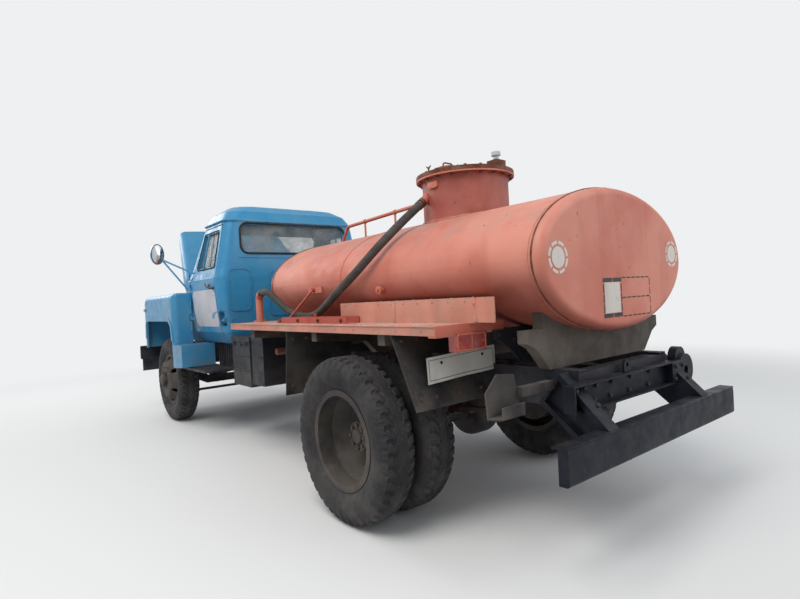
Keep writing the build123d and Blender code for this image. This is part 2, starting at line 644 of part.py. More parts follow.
doorway = door_prism(DOOR_GAP, 300, 1200)
body_open = cab_shell - doorway - mirrored(doorway)
left_door_panel = cab_shell & door_prism(0, 300, 1200)
window = side_plate(WINDOW_OUTLINE, 300, 1200)
left_door = left_door_panel - window
cab_leaves = Part()
for hinge_z in DOOR_HINGE_Z:
    left_door += hinge_leaf(hinge_z, -1)
    cab_leaves += hinge_leaf(hinge_z, 1)
glass_skin = shell_loft(CAB_SECTIONS, 20, 20, 24) - shell_loft(CAB_SECTIONS, 20 + GLASS, 20 + GLASS, 24 + GLASS)
left_glass = glass_skin & window
parts["door_left"] = left_door
parts["door_right"] = mirrored(left_door)
parts["door_glass_left"] = left_glass
parts["door_glass_right"] = mirrored(left_glass)

PILLAR_FRONT_X = DOOR_FRONT_X - 240
PILLAR_BACK_X = DOOR_REAR_X + 170
windscreen_hole = slab(CAB_FRONT_X - 360, CAB_FRONT_X + 110, -600, 600, 1580, 1985)
rear_hole = slab(CAB_BACK_X - 140, CAB_BACK_X + 110, -575, 575, 1740, 2005)
rear_hole = fillet(rear_hole.edges().filter_by(Axis.X), 60)
front_zone = slab(PILLAR_FRONT_X, CAB_FRONT_X + 310, -1200, 1200, 0, 2400)
back_zone = slab(CAB_BACK_X - 140, PILLAR_BACK_X, -1200, 1200, 0, 2400)
floor_zone = slab(CAB_BACK_X - 140, CAB_FRONT_X + 310, -1200, 1200, CAB_SILL_Z, CAB_SILL_Z + FLOOR_WALL)


def bonnet_lug(y, thick):
    """Ear on the cowl with the pin of one bonnet hinge."""
    strap = slab(CAB_FRONT_X - 10, BONNET_REAR_X, y, y + thick, BONNET_HINGE_Z - 8, BONNET_HINGE_Z + 8)
    end = round_y(BONNET_REAR_X, BONNET_HINGE_Z, 8, y, y + thick)
    pin = round_y(BONNET_REAR_X, BONNET_HINGE_Z, HINGE_PIN, y, y + 2 * thick + 4)
    return strap + end + pin


cowl_ear = bonnet_lug(BONNET_LUG_Y, LUG_THICK)
parts["cab_front"] = (body_open & front_zone) - windscreen_hole + cab_leaves + mirrored(cab_leaves) + \
    cowl_ear + mirrored(cowl_ear)


# Pressed panels of the rear wall: centre y, centre z, half width, half height
BACK_PANELS = [(-616, 1380, 114, 205), (-175, 1335, 150, 225), (175, 1335, 150, 225), (616, 1380, 114, 205)]
PRESS_DEPTH = 6
FILLER_X = CAB_BACK_X + 50
FILLER_Z = 1105
FILLER_RADIUS = 27


def back_pressings():
    """Raised frames and the long bead pressed out of the rear wall."""
    proud = shell_loft(CAB_SECTIONS, -PRESS_DEPTH, END_WALL, -1) - cab_outer
    frames = Part()
    for y, z, half_w, half_h in BACK_PANELS:
        outline = Plane(origin=(CAB_BACK_X - 60, y, z), x_dir=(0, 1, 0), z_dir=(1, 0, 0))
        frames += extrude(outline * ring_plate(half_w, half_h, 62, 14), amount=120)
    frames += slab(CAB_BACK_X - 60, CAB_BACK_X + 60, -600, 600, 1684, 1696)
    return proud & frames


def filler_opening():
    low = FILLER_Z - 67
    high = FILLER_Z + 71
    rows = [(FILLER_X - 24, low, 14), (FILLER_X + 28, low, 14), (FILLER_X + 28, high, 14), (FILLER_X - 24, high, 14)]
    return rounded_plate(rows, 640, 900)


def filler():
    """Fuel filler neck in its opening and the flap, torn off its catch and bent out."""
    pipe = rod((FILLER_X, 650, FILLER_Z - 60), (FILLER_X, 752, FILLER_Z), FILLER_RADIUS)
    cap = rod((FILLER_X, 745, FILLER_Z - 4), (FILLER_X, 772, FILLER_Z + 12), FILLER_RADIUS + 7)
    bracket = slab(FILLER_X - 20, FILLER_X + 20, 640, 690, 990, FILLER_Z - 20)
    bend = [(740, 1172), (740, 1180), (812, 1192), (866, 1172), (876, 1122), (871, 1120), (860, 1167), (812, 1185)]
    flap = cross_plate(bend, FILLER_X - 32, FILLER_X + 16)
    return pipe + cap + bracket + flap


cab_back = (body_open & back_zone) - rear_hole - filler_opening() + back_pressings() + filler()
parts["cab_back"] = cab_back
cab_floor = floor_room & floor_zone
for mount_x in CAB_MOUNT_X:
    for mount_y in (-RAIL_MID_Y, RAIL_MID_Y):
        cab_floor += round_z(mount_x, mount_y, 30, RAIL_TOP, CAB_SILL_Z + 1)
parts["cab_floor"] = cab_floor
header = slab(PILLAR_BACK_X, PILLAR_FRONT_X, -1200, 1200, 1500, 2400)
roof_rails = body_open & header
parts["cab_roof"] = cab_roof + roof_rails
windscreen = glass_skin & windscreen_hole
rear_glass = glass_skin & rear_hole
parts["cab_glass"] = Compound(children=[*windscreen.solids(), *rear_glass.solids()])


# Inside the cab
def seat():
    x = CAB_BACK_X
    cushion = fillet(slab(x + 130, x + 590, -560, 560, 1090, 1240).edges().filter_by(Axis.Y), 40)
    back = side_plate([(x + 110, 1180), (x + 230, 1180), (x + 150, 1640), (x + 60, 1640)], -560, 560)
    base = slab(x + 160, x + 560, -540, 540, CAB_SILL_Z + FLOOR_WALL, 1100)
    return cushion + back + base


STEER_CENTRE = (CAB_FRONT_X - 360, 370, 1430)
STEER_TILT = 40
STEER_RADIUS = 205


def steering_wheel():
    section = [(math.cos(math.radians(45 * k + 22.5)), math.sin(math.radians(45 * k + 22.5))) for k in range(8)]
    ring = turned_z([(STEER_RADIUS + 12 * c, 12 * d) for c, d in section])
    spokes = Box(2 * STEER_RADIUS, 26, 12) + Box(26, 2 * STEER_RADIUS, 12)
    boss = Cylinder(34, 40)
    return Pos(*STEER_CENTRE) * Rot(0, -STEER_TILT, 0) * (ring + spokes + boss)


def dashboard():
    """Full-width panel with the steering column held under it."""
    x = CAB_FRONT_X
    panel = side_plate([(x - 170, 1340), (x + 10, 1340), (x + 10, 1500), (x - 130, 1510), (x - 190, 1450)], -640, 640)
    column = Pos(*STEER_CENTRE) * Rot(0, -STEER_TILT, 0) * Pos(0, 0, -20 - SEAT_GAP - 260) * Cylinder(22, 520)
    hanger = slab(x - 165, x - 125, STEER_CENTRE[1] - 15, STEER_CENTRE[1] + 15, 1180, 1350)
    return (panel + column + hanger) & cab_inner


parts["seat"] = seat()
parts["dashboard"] = dashboard()
parts["steering_wheel"] = steering_wheel()


# Bonnet, modelled closed and raised about its rear hinge
# x, half width, side bottom, shoulder height, crown height
BONNET_SECTIONS = [
    (BONNET_REAR_X, BONNET_REAR_Y, 1300, 1415, 1462),
    (BONNET_TAPER_X, BONNET_REAR_Y, 1292, 1404, 1455),
    (BONNET_FRONT_X, BONNET_FRONT_Y, 1240, 1320, 1372),
]


def bonnet_face(x, half, low, shoulder, crown, inset):
    w = half - inset
    top = crown - inset
    mid = shoulder - inset
    corner = 70
    edges = [
        Line((x, -w, low), (x, -w, mid - corner / 2)),
        ThreePointArc((x, -w, mid - corner / 2), (x, -w + 22, mid + 12), (x, -w + corner, mid + corner / 2 - 5)),
        ThreePointArc((x, -w + corner, mid + corner / 2 - 5), (x, 0, top), (x, w - corner, mid + corner / 2 - 5)),
        ThreePointArc((x, w - corner, mid + corner / 2 - 5), (x, w - 22, mid + 12), (x, w, mid - corner / 2)),
        Line((x, w, mid - corner / 2), (x, w, low)),
        Line((x, w, low), (x, -w, low)),
    ]
    return make_face(edges)


def bonnet_closed():
    outer = loft([bonnet_face(*row, 0) for row in BONNET_SECTIONS], ruled=True)
    inner = loft([bonnet_face(x, h, low - 40, sh, cr, BONNET_SKIN) for x, h, low, sh, cr in BONNET_SECTIONS],
                 ruled=True)
    shell = outer - inner
    eye_y = BONNET_LUG_Y + LUG_THICK + SEAT_GAP
    eye = round_y(BONNET_REAR_X, BONNET_HINGE_Z, 8, eye_y, eye_y + LUG_THICK)
    eye += slab(BONNET_REAR_X, BONNET_REAR_X + 40, eye_y, eye_y + LUG_THICK, BONNET_HINGE_Z - 20, BONNET_HINGE_Z + 4)
    eye -= round_y(BONNET_REAR_X, BONNET_HINGE_Z, HINGE_PIN + BEARING_GAP, eye_y - 1, eye_y + LUG_THICK + 1)
    return shell + eye + mirrored(eye)


bonnet_raise = Pos(BONNET_REAR_X, 0, BONNET_HINGE_Z) * Rot(0, -BONNET_OPEN, 0) * Pos(-BONNET_REAR_X, 0, -BONNET_HINGE_Z)
parts["bonnet"] = bonnet_raise * bonnet_closed()


# Front fenders with their inner panels
FENDER_FRONT_X = NOSE_X - 197
FENDER_REAR_X = DOOR_FRONT_X + 15
FENDER_FOOT_X = ARCH_REAR_X - 300
FENDER_FOOT_Z = 640
FENDER_ROUND = 58


def fender_rows(inset):
    """Side outline of x, z and corner radius, drawn in by inset."""
    front = FENDER_FRONT_X - inset
    rear = FENDER_REAR_X + inset
    top = FENDER_TOP - inset
    sill = CAB_SILL_Z - SEAT_GAP - inset
    return front, rear, top, sill


def fender():
    """Side panel with rolled edges over the wheel, cut for the arch, the bonnet and the cab."""
    front, rear, top, sill = fender_rows(0)
    block = rounded_plate([
        (front, 790, 0), (front, top - 8, 105), (rear, top, 30), (rear, sill, 0), (FENDER_FOOT_X, sill, 0),
        (FENDER_FOOT_X, FENDER_FOOT_Z, 0), (ARCH_REAR_X, FENDER_FOOT_Z - 20, 0), (ARCH_REAR_X, 790, 0),
    ], 560, FENDER_Y)
    outer = [e for e in block.edges() if e.bounding_box().min.Y > FENDER_Y - 1 and e.bounding_box().max.Z > top - 130]
    block = fillet(outer, FENDER_ROUND)
    front, rear, top, sill = fender_rows(FENDER_SKIN)
    room = rounded_plate([
        (front, 500, 0), (front, top - 8, 105 - FENDER_SKIN), (rear, top, 14), (rear, sill, 0),
        (FENDER_FOOT_X + FENDER_SKIN, sill, 0), (FENDER_FOOT_X + FENDER_SKIN, 500, 0),
    ], 500, FENDER_Y - FENDER_SKIN)
    outer = [e for e in room.edges() if e.bounding_box().min.Y > FENDER_Y - FENDER_SKIN - 1
             and e.bounding_box().max.Z > top - 130]
    room = fillet(outer, FENDER_ROUND - FENDER_SKIN)
    skin = block - room
    arch = rounded_plate([
        (ARCH_REAR_X - 10, 500, 0), (ARCH_REAR_X + 12, 940, 0), (ARCH_REAR_X + 30, ARCH_TOP, 120),
        (ARCH_FRONT_X, ARCH_TOP, 60), (ARCH_FRONT_X + 20, 500, 0),
    ], 500, FENDER_Y + 10)
    lip = rounded_plate([
        (ARCH_REAR_X - 36, 900, 0), (ARCH_REAR_X + 4, ARCH_TOP + 26, 146),
        (ARCH_FRONT_X + 26, ARCH_TOP + 26, 86), (ARCH_FRONT_X + 46, 900, 0),
    ], FENDER_Y - FENDER_SKIN, FENDER_Y + 9)
    skin = skin + lip - arch
    gap = RUNNING_GAP
    bonnet_plan = [
        (CAB_FRONT_X - 90, -1), (CAB_FRONT_X - 90, BONNET_REAR_Y + gap), (BONNET_TAPER_X + 90, BONNET_REAR_Y + gap),
        (BONNET_FRONT_X, BONNET_FRONT_Y + gap), (NOSE_X, BONNET_FRONT_Y + gap), (NOSE_X, -1),
    ]
    skin -= plan_plate(bonnet_plan, 1180, 1600)
    skin -= slab(CAB_BACK_X, CAB_FRONT_X + SEAT_GAP, 500, CAB_BELT_Y + SEAT_GAP, CAB_SILL_Z - SEAT_GAP, 1600)
    skin -= slab(CAB_BACK_X, CAB_FRONT_X + 10, 500, 690, 500, 900)
    for z in DOOR_HINGE_Z:
        skin -= slab(DOOR_FRONT_X - 30, DOOR_HINGE_X + 38, CAB_BELT_Y - 10, DOOR_HINGE_Y + 14, z - HINGE_HALF - 8, z + HINGE_HALF + 8)
    skin += Pos(FENDER_FRONT_X - 70, FENDER_Y - 1, 1230) * Rot(-90, 0, 0) * extrude(Ellipse(36, 18), amount=14, taper=12)
    return skin - slab(BONNET_FRONT_X - 50, BONNET_FRONT_X + 70, 500, 650, 700, 1400)


def inner_wing():
    back = CAB_FRONT_X + 10
    front = BONNET_FRONT_X - 50
    wall = slab(back, front, 540, 558, RAIL_TOP, 1200)
    gap = RUNNING_GAP
    shelf = plan_plate([(back, 540), (back, BONNET_REAR_Y + gap), (front - 10, BONNET_FRONT_Y + gap + 8), (front - 10, 540)],
                       1182, 1200)
    foot = slab(back, front, RAIL_OUTER_Y - 40, 558, RAIL_TOP, RAIL_TOP + 12)
    return wall + shelf + foot


parts["fenders"] = both(fender())
parts["inner_wings"] = both(inner_wing())


# Grille, headlamps and bumper
def grille():
    x = GRILLE_X
    panel = slab(x, x + 18, -640, 640, RAIL_TOP, 1225)
    for k in range(5):
        z = 930 + 56 * k
        panel -= slab(x - 20, x + 40, -390, 390, z, z + 34)
    for side in (-1, 1):
        panel -= round_x(side * LAMP_Y, LAMP_Z, LAMP_RADIUS + SEAT_GAP, x - 20, x + 40)
    for side in (-1, 1):
        bezel = round_x(side * LAMP_Y, LAMP_Z, LAMP_RADIUS + 20, x + 16, x + 28)
        panel += bezel - round_x(side * LAMP_Y, LAMP_Z, LAMP_RADIUS + SEAT_GAP, x + 10, x + 40)
        panel += round_x(side * (LAMP_Y + 70), LAMP_Z + 118, 30, x + 16, x + 36)
    return panel


def headlamp():
    """Bowl and domed lens turned about the beam."""
    profile = [(0, -80), (60, -70), (LAMP_RADIUS, -20), (LAMP_RADIUS, 22), (64, 34), (34, 40), (0, 42)]
    return Pos(GRILLE_X, LAMP_Y, LAMP_Z) * Rot(0, 0, -90) * turned(profile)


def bumper():
    bar = slab(NOSE_X - 60, NOSE_X, -1040, 1040, 640, 800)
    bar = fillet(bar.edges().filter_by(Axis.Y).group_by(Axis.X)[-1], 26)
    room = slab(NOSE_X - 70, NOSE_X - 8, -1050, 1050, 648, 792)
    bar -= fillet(room.edges().filter_by(Axis.Y).group_by(Axis.X)[-1], 18)
    bar += slab(NOSE_X - 58, NOSE_X - 50, -1030, 1030, 500, 650)
    for side in (-1, 1):
        bar += slab(RAIL_FRONT_X, NOSE_X - 8, side * RAIL_MID_Y - 30, side * RAIL_MID_Y + 30, 670, 770)
    return bar


parts["grille"] = grille()
parts["headlamps"] = both(headlamp())
parts["bumper"] = bumper()


# Steps, mirrors and side boxes
def step():
    back = CAB_BACK_X + 60
    front = FENDER_FOOT_X - 10
    plate = plan_plate([(back, 640), (front + 270, 640), (front + 270, 900), (front + 210, 950), (back + 60, 950),
                        (back, 900)], 612, 632)
    riser = slab(back, front, 640, 655, 632, 850)
    for k in range(9):
        riser += slab(back + 40 + 50 * k, back + 52 + 50 * k, 640, 664, 632, 846)
    arms = Part()
    for x in (back + 200, back + 400):
        arms += slab(x, x + 60, RAIL_OUTER_Y, 645, 672, 720)
    return plate + riser + arms


MIRROR_CENTRE = (CAB_FRONT_X + 110, 1070, 1810)


def wing_mirror():
    x, y, z = MIRROR_CENTRE
    head = Pos(x, y, z) * Rot(0, 90, 0) * extrude(Ellipse(108, 66), amount=17, both=True)
    upper = rod((x - 10, y - 50, z - 60), (CAB_FRONT_X - 190, 800, 1585), 9)
    lower = rod((x - 10, y - 55, z - 75), (CAB_FRONT_X - 20, 812, 1420), 9)
    return head + (upper + lower - cab_outer)


def side_box():
    x = CAB_BACK_X - 80
    first = slab(x - 390, x, RAIL_OUTER_Y, 750, 510, 940)
    first += slab(x - 398, x + 8, RAIL_OUTER_Y, 757, 905, 948) + slab(x - 230, x - 160, 740, 768, 872, 884)
    second = slab(x - 640, x - 405, RAIL_OUTER_Y, 740, 540, 940)
    second += slab(x - 646, x - 402, RAIL_OUTER_Y, 746, 915, 946)
    return Compound(children=[*first.solids(), *second.solids()])


parts["steps"] = both(step())
parts["mirrors"] = both(wing_mirror())
parts["side_boxes"] = both(side_box())


# Standpipe and the delivery hose
PIPE_X = DECK_FRONT_X - 30
PIPE_Y = 725
PIPE_RADIUS = 30
PIPE_TOP = 1300
PIPE_FOOT = DECK_TOP
HOSE_RADIUS = 27
STRUT_X = TANK_FRONT_X - 748

# points of the hose from the standpipe down over the tray and up to the neck
HOSE_ROUTE = [
    (PIPE_X - 70, PIPE_Y + 12, PIPE_TOP + 14), (PIPE_X - 140, PIPE_Y + 24, PIPE_TOP + 28), (PIPE_X - 250, 752, 1318),
    (PIPE_X - 380, 744, 1245), (PIPE_X - 530, 722, 1155), (STRUT_X + 170, 690, 1115), (STRUT_X + 10, 680, 1124),
    (STRUT_X - 170, 700, 1190), (NECK_X + 500, 738, 1270), (NECK_X + 283, 737, 1375), (NECK_X + 120, 712, 1488),
    (NECK_X + 62, 610, 1605), (NECK_X + 74, 430, 1740), (NECK_X + 83, 310, 1825),
]


# Tank with its neck, on cross bearers that carry the decks too
def ellipse_prism(x0, x1, grow):
    plane = Plane(origin=(x0, 0, TANK_Z), x_dir=(0, 1, 0), z_dir=(1, 0, 0))
    return extrude(plane * Ellipse(TANK_A + grow, TANK_B + grow), amount=x1 - x0)


def tank():
    body = ellipse_prism(TANK_REAR_X, TANK_FRONT_X, 0)
    body = fillet(body.edges(), TANK_EDGE)
    # the turned seam faces the left side, off the middle line
    neck = turned_z([(0, TANK_Z), (NECK_RADIUS, TANK_Z), (NECK_RADIUS, NECK_TOP - 14),
                     (COVER_RADIUS, NECK_TOP - 14), (COVER_RADIUS, NECK_TOP), (0, NECK_TOP)])
    neck = Pos(NECK_X, 0, 0) * Rot(0, 0, 90) * neck
    boss = round_y(NECK_X + 100, 1270, 20, 600, 676)
    plate = slab(STRUT_X - 100, STRUT_X + 80, 620, 688, 1284, 1326)
    inlet = rod(HOSE_ROUTE[-1], tuple(b + (b - a) for a, b in zip(HOSE_ROUTE[-2], HOSE_ROUTE[-1])), 30)
    rail_path = FilletPolyline((TANK_FRONT_X - 128, 40, 1690), (TANK_FRONT_X - 248, 40, 1856), (NECK_X + NECK_RADIUS - 13, 40, 1892),
                               radius=60)
    vent = sweep(Plane(origin=rail_path @ 0, z_dir=rail_path % 0) * Circle(14), path=rail_path)
    return body + neck + inlet + boss + plate + vent


def manhole_cover():
    plate = round_z(NECK_X, 0, COVER_RADIUS, NECK_TOP, NECK_TOP + COVER_THICK)
    dome = round_z(NECK_X, 0, 235, NECK_TOP + COVER_THICK, NECK_TOP + COVER_THICK + 14)
    valve = slab(NECK_X - 255, NECK_X - 175, -120, -30, NECK_TOP + COVER_THICK, NECK_TOP + COVER_THICK + 60)
    seat_ring = round_z(HATCH_X, HATCH_Y, 95, NECK_TOP + COVER_THICK, HATCH_BASE)
    return plate + dome + valve + seat_ring + hatch_ears()


HATCH_X = NECK_X + 90
HATCH_Y = 60
HATCH_HINGE_X = HATCH_X - 122
HATCH_BASE = NECK_TOP + COVER_THICK + 40


def hatch_lid():
    """Filling lid with the middle barrel of its hinge."""
    base = HATCH_BASE + SEAT_GAP
    cap = round_z(HATCH_X, HATCH_Y, 105, base, base + 18) + round_z(HATCH_X, HATCH_Y, 70, base + 18, base + 30)
    lug = slab(HATCH_HINGE_X, HATCH_X - 60, HATCH_Y - 20, HATCH_Y + 20, base + 2, base + 18)
    barrel = round_y(HATCH_HINGE_X, base + 10, 9, HATCH_Y - 20, HATCH_Y + 20)
    pin_room = round_y(HATCH_HINGE_X, base + 10, HINGE_PIN + BEARING_GAP, HATCH_Y - 30, HATCH_Y + 30)
    return cap + lug + barrel - pin_room


def hatch_ears():
    """Two ears and the pin that carry the lid."""
    z = HATCH_BASE + SEAT_GAP + 10
    ears = round_y(HATCH_HINGE_X, z, HINGE_PIN, HATCH_Y - 34, HATCH_Y + 34)
    for y in (HATCH_Y - 34, HATCH_Y + 22):
        ears += round_y(HATCH_HINGE_X, z, 9, y, y + 12)
        ears += slab(HATCH_HINGE_X - 9, HATCH_HINGE_X + 9, y, y + 12, NECK_TOP + COVER_THICK, z)
    return ears


# cross beams: place along the truck and reach to each side
BEARERS = [(TANK_REAR_X + 166, 620), (REAR_AXLE_X - 270, DECK_OUTER_Y - 30), (REAR_AXLE_X + 430, DECK_OUTER_Y - 30),
           (TANK_FRONT_X - 218, DECK_OUTER_Y - 30)]


def bearers():
    """Cross beams that cradle the tank and reach out under the decks."""
    z1 = DECK_TOP - DECK_DEPTH
    tank_room = ellipse_prism(TANK_REAR_X, TANK_FRONT_X, 0)
    beams = []
    for x, out in BEARERS:
        outline = [(-out, z1 - 60), (-560, z1 - 90), (-460, RAIL_TOP), (460, RAIL_TOP), (560, z1 - 90),
                   (out, z1 - 60), (out, z1), (500, z1), (500, z1 + 130), (-500, z1 + 130), (-500, z1), (-out, z1)]
        beam = cross_plate(outline, x - 30, x + 30) - tank_room
        beams.extend(beam.solids())
    return Compound(children=beams)


parts["tank"] = tank()
parts["manhole_cover"] = manhole_cover()
parts["hatch_lid"] = hatch_lid()
parts["bearers"] = bearers()


def deck():
    blank = slab(DECK_REAR_X, DECK_FRONT_X, DECK_INNER_Y, DECK_OUTER_Y, DECK_TOP - DECK_DEPTH, DECK_TOP)
    hollow = slab(DECK_REAR_X + DECK_SKIN, DECK_FRONT_X - DECK_SKIN, DECK_INNER_Y + DECK_SKIN,
                  DECK_OUTER_Y - DECK_SKIN, DECK_TOP - DECK_DEPTH, DECK_TOP - DECK_SKIN)
    return blank - hollow


CASE_REAR_X = DECK_REAR_X - 50
CASE_FRONT_X = CASE_REAR_X + 1170
CASE_Y0 = 635
CASE_Y1 = 750
CASE_HEIGHT = 122
CASE_WALL = 5


FLAP_HINGE_X = CASE_REAR_X - 8
FLAP_HINGE_Y = CASE_Y1 + 2
FLAP_THICK = 6
FLAP_BARREL = 5
FLAP_PIN = 2.5
FLAP_LOW = DECK_TOP + 34
FLAP_HIGH = DECK_TOP + CASE_HEIGHT - 30


def hose_case():
    z0 = DECK_TOP
    z1 = DECK_TOP + CASE_HEIGHT
    w = CASE_WALL
    blank = slab(CASE_REAR_X, CASE_FRONT_X, CASE_Y0, CASE_Y1, z0, z1)
    bore = slab(CASE_REAR_X, CASE_FRONT_X - w, CASE_Y0 + w, CASE_Y1 - w, z0 + w, z1 - w)
    return blank - bore


def flap_barrels():
    """Hinge barrels on the case's outer edge, with the pin through them."""
    hinge = round_z(FLAP_HINGE_X, FLAP_HINGE_Y, FLAP_PIN, DECK_TOP + 8, DECK_TOP + CASE_HEIGHT - 4)
    for low, high in ((DECK_TOP + 8, FLAP_LOW), (FLAP_HIGH, DECK_TOP + CASE_HEIGHT - 4)):
        hinge += round_z(FLAP_HINGE_X, FLAP_HINGE_Y, FLAP_BARREL, low, high)
        hinge += slab(FLAP_HINGE_X, CASE_REAR_X + 14, CASE_Y1 - 1, FLAP_HINGE_Y + FLAP_BARREL, low, high)
    return hinge


def case_flap():
    """Square cap on the open end, hinged along its outer edge and swung open."""
    y0 = FLAP_HINGE_Y - FLAP_THICK / 2
    low = FLAP_LOW + SEAT_GAP
    high = FLAP_HIGH - SEAT_GAP
    span = CASE_Y1 - CASE_Y0
    cap = slab(FLAP_HINGE_X - span, FLAP_HINGE_X - FLAP_BARREL - 2, y0, y0 + FLAP_THICK,
               DECK_TOP + 4, DECK_TOP + CASE_HEIGHT)
    cap += slab(FLAP_HINGE_X - FLAP_BARREL - 3, FLAP_HINGE_X, y0, y0 + FLAP_THICK, low, high)
    cap += round_z(FLAP_HINGE_X, FLAP_HINGE_Y, FLAP_BARREL, low, high)
    return cap - round_z(FLAP_HINGE_X, FLAP_HINGE_Y, FLAP_PIN + BEARING_GAP, low - 1, high + 1)


parts["decks"] = both(deck())
left_case = hose_case()
parts["hose_cases"] = Compound(children=[*(left_case + flap_barrels()).solids(), *mirrored(left_case).solids()])
parts["case_flap"] = case_flap()


# Hose tray: folded channel on the left deck, strut to the tank and a peg
TRAY_FRONT_X = STRUT_X + 290
TRAY_REAR_X = CASE_FRONT_X - 215
TRAY_Y0 = 756
TRAY_Y1 = 852
TRAY_HEIGHT = 42
TRAY_WALL = 5


def hose_tray():
    """Channel with cut-down front corners, the strut that stands in it and a peg."""
    floor = DECK_TOP + TRAY_WALL
    top = DECK_TOP + TRAY_HEIGHT
    outline = [(TRAY_REAR_X, DECK_TOP), (TRAY_FRONT_X, DECK_TOP), (TRAY_FRONT_X, floor + 4),
               (TRAY_FRONT_X - 110, top), (TRAY_REAR_X, top)]
    tray = side_plate(outline, TRAY_Y0, TRAY_Y1)
    tray -= slab(TRAY_REAR_X - 1, TRAY_FRONT_X - 40, TRAY_Y0 + TRAY_WALL, TRAY_Y1 - TRAY_WALL, floor, top + 1)
    strut = rod((STRUT_X, 702, 1306), (TRAY_FRONT_X - 70, 800, floor + 6), 8)
    strut += round_y(STRUT_X, 1306, 15, 688, 712)
    peg = round_z(STRUT_X - 166, TRAY_Y0 + 26, 11, floor, 1145)
    return tray + strut + peg


parts["hose_tray"] = hose_tray()


# Standpipe and hose solids
def standpipe():
    path = FilletPolyline((PIPE_X, PIPE_Y, PIPE_FOOT), (PIPE_X, PIPE_Y, PIPE_TOP), HOSE_ROUTE[0], radius=50)
    foot = round_z(PIPE_X, PIPE_Y, 55, PIPE_FOOT, PIPE_FOOT + 12)
    return foot + sweep(Plane(origin=path @ 0, z_dir=path % 0) * Circle(PIPE_RADIUS), path=path)


def tangent_radii(points):
    radii = []
    for before, here, after in zip(points, points[1:], points[2:]):
        run_in = Vector(*here) - Vector(*before)
        run_out = Vector(*after) - Vector(*here)
        turn = math.radians(run_in.get_angle(run_out))
        shorter = min(run_in.length, run_out.length)
        radii.append(0.45 * shorter / math.tan(turn / 2))
    return radii


def hose():
    path = FilletPolyline(*HOSE_ROUTE, radius=tangent_radii(HOSE_ROUTE))
    plane = Plane(origin=path @ 0, z_dir=path % 0)
    return sweep(plane * Circle(HOSE_RADIUS), path=path)


print("hose bend radii", [round(r) for r in tangent_radii(HOSE_ROUTE)])
parts["standpipe"] = standpipe()
parts["hose"] = hose()


# Rear end: mudguards, lamps, tow beam and guard bar
def mudguards():
    sheet = 5
    under = DECK_TOP - DECK_DEPTH
    x = REAR_AXLE_X - 385
    rear = [(x, under), (x - 175, 670), (x - 175 - sheet, 670), (x - sheet, under)]
    x = REAR_AXLE_X + 750
    front = [(x, under), (x + 50, 600), (x + 50 - sheet, 600), (x - sheet, under)]
    pair = side_plate(rear, RAIL_OUTER_Y + 20, DECK_OUTER_Y), side_plate(front, RAIL_OUTER_Y + 20, DECK_OUTER_Y)
    return Compound(children=[s for plate in pair for s in plate.solids()])


def tail_lamp():
    return slab(DECK_REAR_X - 12, DECK_REAR_X + 40, 640, 845, 950, DECK_TOP - DECK_DEPTH)


BEAM_THICK = 60
TOW_Y = -545
TOW_Z = 728
TOW_EYE_RADIUS = 90
TOW_HOLE_RADIUS = 24


BAR_LOW = 450
BAR_HIGH = 600
BAR_DEPTH = 50
BAR_WALL = 6


def guard_bar():
    """Folded guard bar on two arms, and the tow beam with its round eye plate."""
    bar = slab(REAR_X, REAR_X + BAR_DEPTH, -830, 830, BAR_LOW, BAR_HIGH)
    bar = fillet(bar.edges().filter_by(Axis.Y).group_by(Axis.X)[0], 16)
    room = slab(REAR_X + BAR_WALL, REAR_X + BAR_DEPTH + 1, -824, 824, BAR_LOW + BAR_WALL, BAR_HIGH - BAR_WALL)
    bar -= fillet(room.edges().filter_by(Axis.Y).group_by(Axis.X)[0], 10)
    for side in (-1, 1):
        y0 = side * (RAIL_OUTER_Y + 40) - 40
        arm = side_plate([(REAR_X + 12, 470), (REAR_X + 12, 606), (RAIL_REAR_X + 50, 832), (RAIL_REAR_X + 170, 690),
                          (REAR_X + 90, 470)], y0, y0 + 80)
        flute = side_plate([(REAR_X + 40, 500), (REAR_X + 40, 590), (RAIL_REAR_X + 56, 800), (RAIL_REAR_X + 140, 696),
                            (REAR_X + 84, 500)], y0 + 40 + side * 8, y0 + 40 + side * 50)
        bar += arm - flute
    beam = slab(RAIL_REAR_X - BEAM_THICK, RAIL_REAR_X, -560, 560, TOW_Z - 62, TOW_Z + 62)
    beam -= slab(RAIL_REAR_X - BEAM_THICK - 1, RAIL_REAR_X - 8, -380, 552, TOW_Z - 54, TOW_Z + 54)
    beam += slab(RAIL_REAR_X - 14, RAIL_REAR_X, -380, 552, TOW_Z - 62, TOW_Z + 62)
    beam += round_x(TOW_Y, TOW_Z, TOW_EYE_RADIUS, RAIL_REAR_X - BEAM_THICK, RAIL_REAR_X)
    beam += round_x(TOW_Y + 30, TOW_Z + 70, 62, RAIL_REAR_X - 44, RAIL_REAR_X)
    lug = slab(RAIL_REAR_X - 40, RAIL_REAR_X - 26, 35, 95, TOW_Z + 60, TOW_Z + 96)
    lug += round_x(65, TOW_Z + 96, 30, RAIL_REAR_X - 40, RAIL_REAR_X - 26)
    lug -= round_x(65, TOW_Z + 100, 11, RAIL_REAR_X - 60, RAIL_REAR_X)
    hole = round_x(TOW_Y, TOW_Z, TOW_HOLE_RADIUS, RAIL_REAR_X - BEAM_THICK - 10, RAIL_REAR_X + 10)
    return bar + beam + lug - hole


